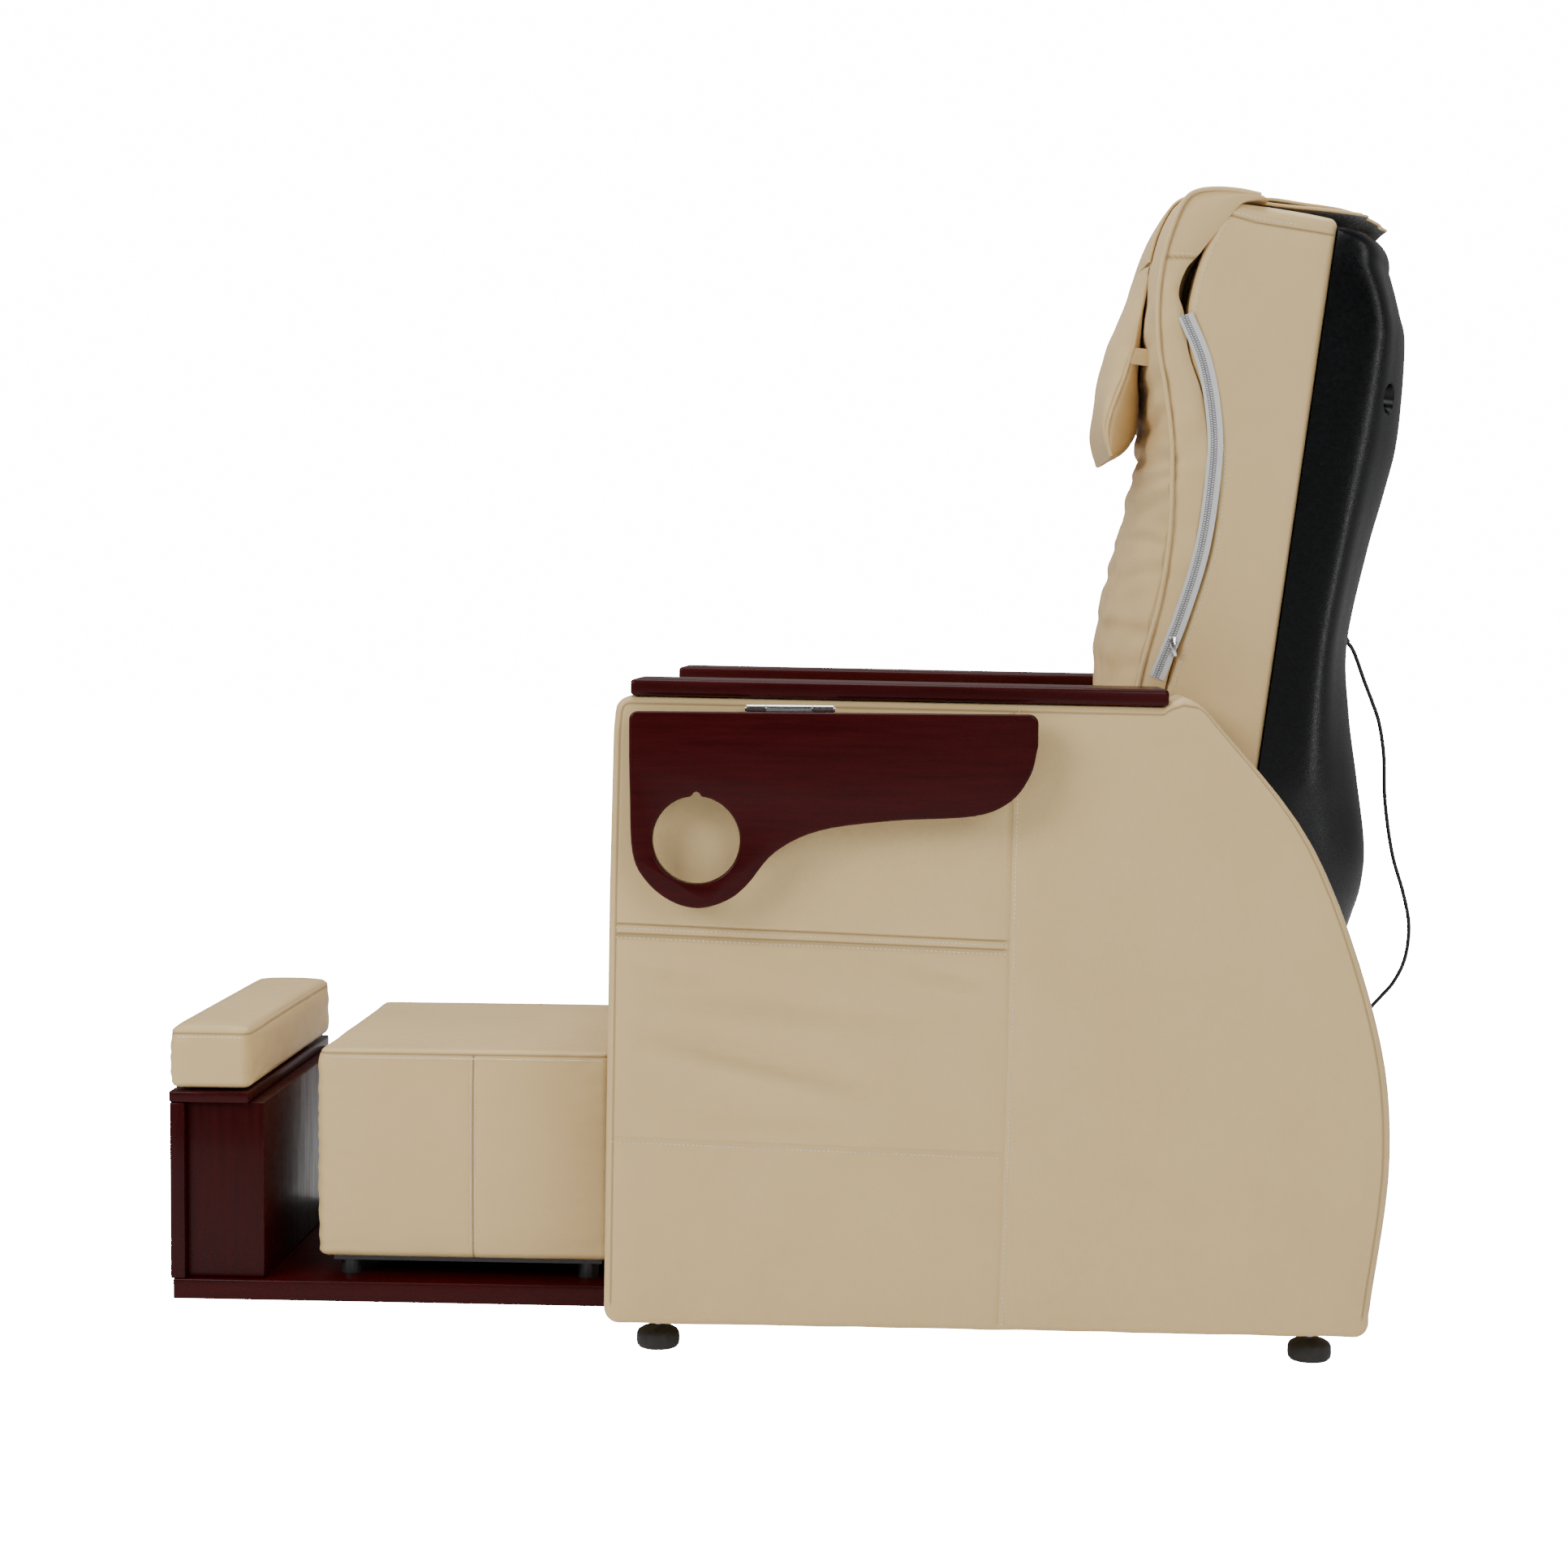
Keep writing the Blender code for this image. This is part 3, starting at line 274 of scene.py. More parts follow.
def leatherMaterial(name):
    look = leatherLook
    made, tree, shader = newMaterial(name, look["light"], look["roughness"])
    place = objectPlace(tree)
    drift = noiseNode(tree, place, 5.5, 4, 0.6)
    base = rampNode(tree, drift, [(0.30, look["dark"]), (0.62, look["light"])])
    speck = noiseNode(tree, place, 420, 2)
    base = mixColour(tree, rangeNode(tree, speck, 0.0, 0.07, 0.35, 0.75), base, look["dark"])
    # painted shade: the crease attribute mixes the crease colour in at seams, folds and piping
    creaseShadeAttribute = tree.nodes.new("ShaderNodeAttribute")
    creaseShadeAttribute.attribute_name = "crease"
    base = mixColour(tree, creaseShadeAttribute.outputs["Fac"], base, look["crease"])
    tree.links.new(base, shader.inputs["Base Color"])
    tree.links.new(rangeNode(tree, noiseNode(tree, place, 55, 3), look["roughness"] - 0.05,
                             look["roughness"] + 0.09, 0.3, 0.7), shader.inputs["Roughness"])
    shader.inputs["Sheen Weight"].default_value = 0.06
    shader.inputs["Specular IOR Level"].default_value = look["specular"]
    grain = bumpNode(tree, shader, cellNode(tree, place, look["grain"]), look["grainDepth"], 0.0006)
    bumpNode(tree, shader, noiseNode(tree, place, look["rumple"], 3), look["rumpleDepth"], 0.004, grain)
    return made


def woodMaterial(name, stretch, shade=1.0):
    look = woodLook
    made, tree, shader = newMaterial(name, look["light"], look["roughness"])
    place = objectPlace(tree, stretch)
    figure = noiseNode(tree, place, 1.0, 6, 0.62)
    tones = [tuple(c * shade for c in look[key]) for key in ("dark", "light")]
    base = rampNode(tree, figure, [(0.32, tones[0]), (0.66, tones[1])])
    pores = noiseNode(tree, objectPlace(tree, tuple(s * 9 for s in stretch)), 1.0, 3, 0.7)
    base = mixColour(tree, rangeNode(tree, pores, 0.0, 0.75, 0.56, 0.72), base, look["pore"])
    tree.links.new(base, shader.inputs["Base Color"])
    tree.links.new(rangeNode(tree, figure, look["roughness"] - 0.05, look["roughness"] + 0.08, 0.3, 0.7),
                   shader.inputs["Roughness"])
    shader.inputs["Specular IOR Level"].default_value = look["specular"]
    shader.inputs["Coat Weight"].default_value = look["coat"]
    shader.inputs["Coat Roughness"].default_value = look["coatRoughness"]
    bumpNode(tree, shader, pores, 0.10, 0.0005)
    return made


def shellMaterial(name):
    look = shellLook
    made, tree, shader = newMaterial(name, look["colour"], look["roughness"])
    place = objectPlace(tree)
    drift = noiseNode(tree, place, 14, 3)
    tones = [(0.3, look["colour"]), (0.7, tuple(c * 1.35 for c in look["colour"]))]
    base = rampNode(tree, drift, tones)
    tree.links.new(base, shader.inputs["Base Color"])
    gloss = rangeNode(tree, noiseNode(tree, place, 160, 2), *look["gloss"], 0.3, 0.7)
    tree.links.new(gloss, shader.inputs["Roughness"])
    shader.inputs["Specular IOR Level"].default_value = look["specular"]
    bumpNode(tree, shader, cellNode(tree, place, look["grain"], "F1"), look["grainDepth"], 0.0004)
    return made


def grainedMaterial(name, colour, roughness, metallic=0.0, scale=(400, 400, 400), depth=0.1, drift=0.25):
    # a plain finish with a little colour drift, uneven gloss and a fine surface
    made, tree, shader = newMaterial(name, colour, roughness, metallic)
    place = objectPlace(tree)
    tones = [(0.3, tuple(c * (1 - drift) for c in colour)), (0.7, colour)]
    tree.links.new(rampNode(tree, noiseNode(tree, place, 25, 4), tones), shader.inputs["Base Color"])
    fine = noiseNode(tree, objectPlace(tree, scale), 1.0, 3)
    gloss = rangeNode(tree, fine, roughness - 0.05, roughness + 0.07, 0.3, 0.7)
    tree.links.new(gloss, shader.inputs["Roughness"])
    bumpNode(tree, shader, fine, depth, 0.0004)
    return made


def wovenMaterial(name, colour, roughness, scale, depth):
    # woven tape or looped cloth: two crossed waves with a little noise between them
    made, tree, shader = newMaterial(name, colour, roughness)
    place = objectPlace(tree)
    waves = []
    for direction in ("X", "Z"):
        wave = tree.nodes.new("ShaderNodeTexWave")
        wave.bands_direction = direction
        wave.inputs["Scale"].default_value = scale
        wave.inputs["Distortion"].default_value = 0.6
        tree.links.new(place, wave.inputs["Vector"])
        waves.append(wave.outputs["Fac"])
    weave = mixColour(tree, 0.8, waves[0], waves[1], "MULTIPLY")
    tones = [(0.0, tuple(c * 0.72 for c in colour)), (1.0, colour)]
    tree.links.new(rampNode(tree, weave, tones), shader.inputs["Base Color"])
    shader.inputs["Sheen Weight"].default_value = 0.25
    bumpNode(tree, shader, weave, depth, 0.0006)
    return made


looks = {
    "leather": leatherMaterial("creamLeather"),
    "woodLong": woodMaterial("cherryAlongX", (9, 130, 130)),
    "woodAcross": woodMaterial("cherryAlongY", (120, 7, 120), 0.9),
    "woodUp": woodMaterial("cherryUpright", (120, 120, 9), 0.8),
    "shell": shellMaterial("blackShell"),
    "thread": grainedMaterial("creamThread", (0.82, 0.75, 0.61), 0.62, scale=(2600, 2600, 2600), depth=0.5),
    "chrome": grainedMaterial("brightSteel", (0.80, 0.80, 0.81), 0.17, 1.0, (60, 1400, 1400), 0.08, 0.08),
    "greySteel": grainedMaterial("greyPowderCoat", (0.24, 0.25, 0.27), 0.48, 0.35, (900, 900, 900), 0.2),
    "rubber": grainedMaterial("blackRubber", (0.016, 0.016, 0.017), 0.55, 0.0, (500, 500, 500), 0.25),
    "motor": grainedMaterial("blackMoulding", (0.022, 0.023, 0.026), 0.42, 0.0, (700, 700, 700), 0.2),
    "roller": grainedMaterial("greyRoller", (0.20, 0.20, 0.21), 0.55, 0.0, (600, 600, 600), 0.2),
    "plywood": grainedMaterial("rawPlywood", (0.50, 0.36, 0.21), 0.72, 0.0, (30, 420, 420), 0.3),
    "tape": wovenMaterial("zipTape", (0.78, 0.78, 0.77), 0.62, 520, 0.5),
    "teeth": grainedMaterial("zipTeeth", (0.60, 0.60, 0.61), 0.34, 0.0, (900, 900, 900), 0.1, 0.1),
    # a dark sheet under the zip teeth: painted shade in the gaps between them
    "shadedGroove": grainedMaterial("zipGapShade", (0.16, 0.16, 0.17), 0.6, 0.0, (900, 900, 900), 0.1, 0.1),
    "loops": wovenMaterial("greyLoops", (0.33, 0.33, 0.325), 0.9, 330, 0.9),
}


# ---- helpers that make and finish pieces
def finishPiece(piece, look, body, replaced=(), smooth=35):
    # give a piece its material and body, and hide the nodes that it replaces
    if look:
        piece.data.materials.clear()
        piece.data.materials.append(looks[look])
    selectOnly(piece)
    if smooth:
        bpy.ops.object.shade_smooth_by_angle(angle=math.radians(smooth))
    if body:
        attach(piece, body)
    if replaced:
        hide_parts(*replaced)
    return piece


def finishBoth(piece, look, body, replaced=(), smooth=35):
    # finish a left piece, then its mirrored copy on the right
    finishPiece(piece, look, body, replaced, smooth)
    copy = mirrored(piece, sideways(piece.name))
    return finishPiece(copy, look, body, [sideways(n) for n in replaced], smooth)


def sideways(name):
    return name.replace("left", "right")


def selectOnly(piece):
    bpy.ops.object.select_all(action="DESELECT")
    bpy.context.view_layer.objects.active = piece
    piece.select_set(True)


def newPiece(name, verts, faces):
    mesh = bpy.data.meshes.new(name)
    mesh.from_pydata([tuple(v) for v in verts], [], faces)
    piece = bpy.data.objects.new(name, mesh)
    bpy.context.scene.collection.objects.link(piece)
    return piece


def placeBy(piece, matrix):
    piece.data.transform(matrix)
    return piece


def mirrored(piece, name):
    # a copy with its own mesh on the other side of the chair
    copy = piece.copy()
    copy.data = piece.data.copy()
    copy.name = name
    for key in list(copy.keys()):    # the copy does not keep the left piece's custom properties
        del copy[key]
    bpy.context.scene.collection.objects.link(copy)
    copy.data.transform(Matrix.Scale(-1, 4, (0, 1, 0)))
    copy.data.flip_normals()
    return copy


def applyModifiers(piece):
    selectOnly(piece)
    for modifier in list(piece.modifiers):
        bpy.ops.object.modifier_apply(modifier=modifier.name)


def gridLines(low, high, step, near=()):
    # grid lines from low to high, closer where near asks: (place, half width, step)
    lines = [low]
    while lines[-1] < high - 1e-6:
        here = lines[-1]
        width = step
        for place, half, fine in near:
            if abs(here - place) < half:
                width = min(width, fine)
            elif here < place - half:
                width = min(width, max(place - half - here, fine))
        lines.append(min(here + width, high))
    if len(lines) > 2 and lines[-1] - lines[-2] < 0.3 * (lines[-2] - lines[-3]):
        lines.pop(-2)
    return np.array(lines)


def boxGrid(xs, ys, zs):
    # a closed box surface with the given grid lines: its places and its outward quads
    sizes = (len(xs), len(ys), len(zs))
    index = -np.ones(sizes, int)
    skin = np.zeros(sizes, bool)
    skin[[0, -1]] = True
    skin[:, [0, -1]] = True
    skin[:, :, [0, -1]] = True
    spots = np.argwhere(skin)
    index[skin] = np.arange(len(spots))
    verts = np.stack((xs[spots[:, 0]], ys[spots[:, 1]], zs[spots[:, 2]]), 1)
    faces = []
    for axis in range(3):
        for end in (0, -1):
            sheet = np.take(index, end, axis=axis)
            a, b, c, d = sheet[:-1, :-1], sheet[1:, :-1], sheet[1:, 1:], sheet[:-1, 1:]
            quads = np.stack((a, b, c, d), -1).reshape(-1, 4)
            if (end == 0) != (axis == 1):
                quads = quads[:, ::-1]
            faces.extend(quads.tolist())
    return verts, faces


def roundInPlane(verts, first, second, low, high, radius):
    # round the four long edges of a box grid: squares at its corners become quarter discs
    for corner in range(4):
        ends = (low if corner & 1 else high, low if corner & 2 else high)
        signs = (-1 if corner & 1 else 1, -1 if corner & 2 else 1)
        centre = [ends[n][axis] - signs[n] * radius for n, axis in enumerate((first, second))]
        a = (verts[:, first] - centre[0]) * signs[0] / radius
        b = (verts[:, second] - centre[1]) * signs[1] / radius
        inside = (a > 0) & (b > 0)
        largest = np.maximum(a, b)[inside]
        length = np.hypot(a, b)[inside]
        scale = largest / np.maximum(length, 1e-9)
        verts[inside, first] = centre[0] + signs[0] * radius * a[inside] * scale
        verts[inside, second] = centre[1] + signs[1] * radius * b[inside] * scale


def roundRim(verts, low, high, thickAxis, flatAxes, corner, edge):
    # round a slab's rim towards its two flat faces, round its corners as well
    p, q = flatAxes
    middle = [(low[n] + high[n]) / 2 for n in flatAxes]
    half = [(high[n] - low[n]) / 2 - corner for n in flatAxes]
    a = verts[:, p] - middle[0]
    b = verts[:, q] - middle[1]
    over = np.stack((np.maximum(abs(a) - half[0], 0), np.maximum(abs(b) - half[1], 0)), 1)
    length = np.hypot(over[:, 0], over[:, 1])
    inset = corner - length
    direction = over / np.maximum(length, 1e-9)[:, None]
    direction[:, 0] *= np.sign(a)
    direction[:, 1] *= np.sign(b)
    for end in (0, 1):
        depth = high[thickAxis] - verts[:, thickAxis] if end else verts[:, thickAxis] - low[thickAxis]
        near = (inset < edge) & (depth < edge)
        u = (edge - inset[near]) / edge
        v = (edge - depth[near]) / edge
        scale = np.maximum(u, v) / np.maximum(np.hypot(u, v), 1e-9)
        moveIn = edge * (u - u * scale)
        newDepth = edge * (1 - v * scale)
        verts[near, p] -= direction[near, 0] * moveIn
        verts[near, q] -= direction[near, 1] * moveIn
        verts[near, thickAxis] = high[thickAxis] - newDepth if end else low[thickAxis] + newDepth


def nearLine(points, line):
    # distance from points to a polyline, and how far along it (0 to 1) the nearest place is
    line = np.array(line, float)
    best = np.full(len(points), 1e9)
    along = np.zeros(len(points))
    lengths = np.linalg.norm(np.diff(line, axis=0), axis=1)
    total = max(lengths.sum(), 1e-9)
    done = 0.0
    for start, end, length in zip(line, line[1:], lengths):
        run = (end - start) / max(length, 1e-9)
        t = np.clip((points - start) @ run, 0, length)
        gap = np.linalg.norm(points - start - t[:, None] * run, axis=1)
        closer = gap < best
        best[closer] = gap[closer]
        along[closer] = (done + t[closer]) / total
        done += length
    return best, along


def bell(distance, width):
    return np.exp(-(distance / width) ** 2)


# stores the painted shade that the leather material mixes in at seams and creases
def setPaintedShade(piece, values):
    layer = piece.data.attributes.new("crease", "FLOAT", "POINT")
    layer.data.foreach_set("value", np.clip(values, 0, 1).astype(np.float32))


def meshPlaces(piece):
    places = np.zeros(len(piece.data.vertices) * 3, np.float32)
    piece.data.vertices.foreach_get("co", places)
    return places.reshape(-1, 3).astype(float)


def meshNormals(piece):
    ways = np.zeros(len(piece.data.vertices) * 3, np.float32)
    piece.data.vertex_normals.foreach_get("vector", ways)
    return ways.reshape(-1, 3).astype(float)


def setPlaces(piece, places):
    piece.data.vertices.foreach_set("co", np.asarray(places, np.float32).ravel())
    piece.data.update()


def softNoise(places, scale, seed=0.0):
    shift = Vector((seed, seed * 1.7, seed * 0.3))
    return np.array([noise.noise(Vector(p) * scale + shift) for p in places])


def evenLine(line, pitch):
    # points at an even spacing along a polyline
    line = np.array(line, float)
    lengths = np.linalg.norm(np.diff(line, axis=0), axis=1)
    travelled = np.concatenate(([0], np.cumsum(lengths)))
    count = max(int(round(travelled[-1] / pitch)), 1)
    stops = np.linspace(0, travelled[-1], count + 1)
    return np.stack([np.interp(stops, travelled, line[:, n]) for n in range(line.shape[1])], 1)


stitch = {"pitch": 0.0052, "length": 0.0038, "radius": 0.00062, "sides": 5, "proud": 0.0003}


def stitchRow(name, line, up, body, pitch=None):
    # a row of thread stitches along a line on a surface; up is the surface's normal there
    spots = evenLine(line, pitch or stitch["pitch"])
    verts, faces = [], []
    sides = stitch["sides"]
    for here, after in zip(spots, spots[1:]):
        along = after - here
        along = along / max(np.linalg.norm(along), 1e-9)
        across = np.cross(up, along)
        across /= max(np.linalg.norm(across), 1e-9)
        rise = np.cross(along, across)
        middle = (here + after) / 2
        base = len(verts)
        for t, swell, lift in ((-1.0, 0.35, -0.9), (-0.55, 1.0, 0.0), (0.55, 1.0, 0.0), (1.0, 0.35, -0.9)):
            raised = rise * (lift * stitch["radius"] + stitch["proud"])
            centre = middle + along * t * stitch["length"] / 2 + raised
            for k in range(sides):
                turn = 2 * math.pi * k / sides
                verts.append(centre + stitch["radius"] * swell
                             * (across * math.cos(turn) + rise * math.sin(turn)))
        for ring in range(3):
            for k in range(sides):
                a, b = base + ring * sides + k, base + ring * sides + (k + 1) % sides
                faces.append((a, b, b + sides, a + sides))
        faces.append(tuple(base + k for k in reversed(range(sides))))
        faces.append(tuple(base + 3 * sides + k for k in range(sides)))
    return finishPiece(newPiece(name, verts, faces), "thread", body)


def layOn(places, line):
    # a line in x and z, laid on the left face by its nearest vertices
    outer = places[-places[:, 1] > 0.85 * np.abs(places[:, 1]).max()]
    found = []
    for x, z in line:
        gaps = (outer[:, 0] - x) ** 2 + (outer[:, 2] - z) ** 2
        near = np.argsort(gaps)[:4]
        weights = 1 / (gaps[near] + 1e-7)
        found.append((x, (outer[near, 1] * weights).sum() / weights.sum(), z))
    return np.array(found)


def tubeAlong(name, line, radius, sides=8):
    # a closed tube mesh along a polyline in space
    line = np.array(line, float)
    ways = np.gradient(line, axis=0)
    ways /= np.linalg.norm(ways, axis=1)[:, None]
    side = np.cross(ways[0], (0.3, 0.5, 0.8))
    verts, faces = [], []
    for centre, way in zip(line, ways):
        side = side - way * side.dot(way)
        side /= np.linalg.norm(side)
        other = np.cross(way, side)
        for k in range(sides):
            turn = 2 * math.pi * k / sides
            verts.append(centre + radius * (side * math.cos(turn) + other * math.sin(turn)))
    for ring in range(len(line) - 1):
        for k in range(sides):
            a, b = ring * sides + k, ring * sides + (k + 1) % sides
            faces.append((a, b, b + sides, a + sides))
    last = (len(line) - 1) * sides
    faces.append(tuple(reversed(range(sides))))
    faces.append(tuple(last + k for k in range(sides)))
    return newPiece(name, verts, faces)


def board(name, low, high, rounding, segments=4):
    # a board with rounded edges, from a cube at its size and place
    bpy.ops.object.select_all(action="DESELECT")
    middle = [(a + b) / 2 for a, b in zip(low, high)]
    bpy.ops.mesh.primitive_cube_add(size=1, location=middle)
    piece = bpy.context.object
    piece.name = name
    piece.scale = [b - a for a, b in zip(low, high)]
    bpy.ops.object.transform_apply(location=True, rotation=True, scale=True)
    bpy.ops.object.mode_set(mode="EDIT")
    bpy.ops.mesh.select_all(action="SELECT")
    bpy.ops.mesh.bevel(offset=rounding, segments=segments, affect="EDGES")
    bpy.ops.object.mode_set(mode="OBJECT")
    return piece


def flatPlate(name, outline, yLow, yHigh, rounding, segments=3, hole=None):
    # a flat plate cut to an outline in X and Z, with a hole and rounded edges
    bpy.ops.object.select_all(action="DESELECT")
    bpy.ops.mesh.primitive_circle_add(vertices=len(outline), radius=1, fill_type="NGON", location=(0, 0, 0))
    piece = bpy.context.object
    piece.name = name
    for vert, (x, z) in zip(piece.data.vertices, outline):
        vert.co = (x, yLow, z)
    bpy.ops.object.mode_set(mode="EDIT")
    bpy.ops.mesh.select_all(action="SELECT")
    bpy.ops.mesh.extrude_region_move(TRANSFORM_OT_translate={"value": (0, yHigh - yLow, 0)})
    bpy.ops.mesh.select_all(action="SELECT")
    bpy.ops.mesh.normals_make_consistent(inside=False)
    bpy.ops.object.mode_set(mode="OBJECT")
    if hole:
        cutter = flatPlate(name + "Cutter", hole, yLow - 0.01, yHigh + 0.01, 0)
        cut = piece.modifiers.new("cut", "BOOLEAN")
        cut.object = cutter
        cut.operation = "DIFFERENCE"
        applyModifiers(piece)
        bpy.data.objects.remove(cutter)
    if rounding:
        edge = piece.modifiers.new("edge", "BEVEL")
        edge.width = rounding
        edge.segments = segments
        edge.limit_method = "ANGLE"
        edge.angle_limit = math.radians(50)
        applyModifiers(piece)
    return piece


def turned(name, profile, centre, axis="Z", steps=40):
    # a turned piece: a profile of (radius, height) spun about an axis through centre
    mesh = bpy.data.meshes.new(name)
    mesh.from_pydata([(r, 0, h) for r, h in profile], [(n, n + 1) for n in range(len(profile) - 1)], [])
    piece = bpy.data.objects.new(name, mesh)
    bpy.context.scene.collection.objects.link(piece)
    selectOnly(piece)
    bpy.ops.object.mode_set(mode="EDIT")
    bpy.ops.mesh.select_all(action="SELECT")
    bpy.ops.mesh.spin(steps=steps, angle=2 * math.pi, center=(0, 0, 0), axis=(0, 0, 1))
    bpy.ops.mesh.select_all(action="SELECT")
    bpy.ops.mesh.remove_doubles(threshold=0.00002)
    bpy.ops.mesh.normals_make_consistent(inside=False)
    bpy.ops.object.mode_set(mode="OBJECT")
    turn = {"Z": Matrix.Identity(4), "Y": Matrix.Rotation(-math.pi / 2, 4, "X"),
            "X": Matrix.Rotation(math.pi / 2, 4, "Y")}[axis]
    return placeBy(piece, Matrix.Translation(centre) @ turn)


# ---- the cable piece
def makeCable():
    line = evenLine(smoothLine(cable["route"], 12), 0.006)
    piece = tubeAlong("backLead", line, cable["diameter"] / 2, 12)
    finishPiece(piece, "rubber", None, ["back_cable"])
    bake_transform(piece)


makeCable()


# ---- side units
side = {
    "inner": 0.2505, "outer": 0.3775,  # |y| of the flat faces, before the padding swells
    "front": ((0.040, -0.197), (0.058, -0.197), (0.540, -0.192), (0.726, -0.188), (0.770, -0.184)),
    "seam": ((0.042, 0.256), (0.360, 0.2635), (0.592, 0.266), (0.758, 0.268)),
    "rear": ((0.066, 0.6795), (0.085, 0.682), (0.25, 0.7), (0.4035, 0.681), (0.6005, 0.607), (0.741, 0.496),
             (0.769, 0.470)),
    "top": ((-0.20, 0.7658), (0.4370, 0.7580), (0.4480, 0.7650), (0.4580, 0.7688), (0.478, 0.7660)),
    "bottom": 0.040, "nominal": (-0.197, 0.2635, 0.70), "levels": (0.040, 0.252, 0.4915, 0.766),
    "slope": (0.0, -0.0268, -0.0333), "corner": 0.018, "rim": 0.0090, "seamInset": 0.0088,
    "upperSeam": ((-0.185, 0.505), (0.265, 0.490)), "bandSeam": ((-0.185, 0.494), (0.263, 0.480)),
    "lowerSeam": ((-0.190, 0.258), (0.257, 0.246)), "puff": 0.0030,
    "folds": (  # valleys in the middle panel: start, end, depth, width
        ((-0.150, 0.382), (0.113, 0.321), 0.0090, 0.013), ((-0.141, 0.430), (0.176, 0.398), 0.0056, 0.015),
        ((0.144, 0.459), (0.249, 0.440), 0.0046, 0.008), ((-0.120, 0.290), (0.100, 0.281), 0.0042, 0.013),
        ((-0.170, 0.455), (-0.060, 0.445), 0.0040, 0.009),
    ),
}
tray = {
    "faces": (0.404, 0.422), "top": 0.7495, "ends": (-0.165, 0.294),
    "cup": (-0.089, 0.605, 0.0495), "notch": 0.005,
    "belly": ((-0.165, 0.700), (-0.164, 0.660), (-0.161, 0.591), (-0.146, 0.559), (-0.118, 0.536),
              (-0.086, 0.528),
              (-0.054, 0.537), (-0.031, 0.555), (0.0, 0.592), (0.050, 0.617), (0.132, 0.629), (0.223, 0.635),
              (0.264, 0.652), (0.286, 0.682), (0.294, 0.715)),
}


def stations(table, at):
    table = np.array(table)
    return np.interp(at, table[:, 0], table[:, 1])


rearCurve = smoothLine(side["rear"], 6)


def sideAcross(nominal, z):
    # true x on the side unit, from the nominal x and the true height
    low, seam, high = side["nominal"]
    front, middle = stations(side["front"], z), stations(side["seam"], z)
    rear = stations(rearCurve, z)
    before = front + (middle - front) * (nominal - low) / (seam - low)
    after = middle + (rear - middle) * (nominal - seam) / (high - seam)
    return np.where(nominal < seam, before, after)


def sideHeight(nominal, x):
    # true z on the side unit: the seams slope down to the rear, and the top follows the arm board
    clipped = np.minimum(x, side["nominal"][1]) - 0.04
    levels = side["levels"]
    heights = [levels[n] + side["slope"][n] * clipped for n in range(3)] + [stations(side["top"], x)]
    z = np.zeros_like(nominal)
    for n in range(3):
        share = np.clip((nominal - levels[n]) / (levels[n + 1] - levels[n]), 0, 1)
        part = heights[n] + (heights[n + 1] - heights[n]) * share
        z = np.where(nominal >= levels[n] - 1e-9, part, z)
    return z


def seamLines():
    seam = np.array([(stations(side["seam"], z), z) for z in np.linspace(0.042, 0.758, 14)])
    return {"upright": seam, "upper": np.array(side["upperSeam"]), "band": np.array(side["bandSeam"]),
            "lower": np.array(side["lowerSeam"])}


def sideRelief(x, z):
    # how far the outer face swells, and how much painted shade falls in its seams, at true x and z
    spots = np.stack((x, z), 1)
    seams = seamLines()
    swell = np.full(len(x), side["puff"])
    shade = np.zeros(len(x))
    for line in seams.values():
        gap = nearLine(spots, line)[0]
        swell -= 0.0017 * bell(gap, 0.016) + 0.0014 * bell(gap, 0.0017)
        shade = np.maximum(shade, 0.85 * bell(gap, 0.0012))
    for start, end, depth, width in side["folds"]:
        gap, along = nearLine(spots, (start, end))
        fade = np.sin(np.pi * np.clip(along, 0.02, 0.98)) ** 0.6
        lift = z - np.interp(x, (start[0], end[0]), (start[1], end[1]))
        swell += depth * fade * (-bell(gap, width) + 0.75 * bell(gap - width * 1.6, width) * (lift < 0))
    swell -= 0.0030 * bell(np.hypot((x - 0.015) / 1.3, z - 0.728), 0.055)
    return swell, shade


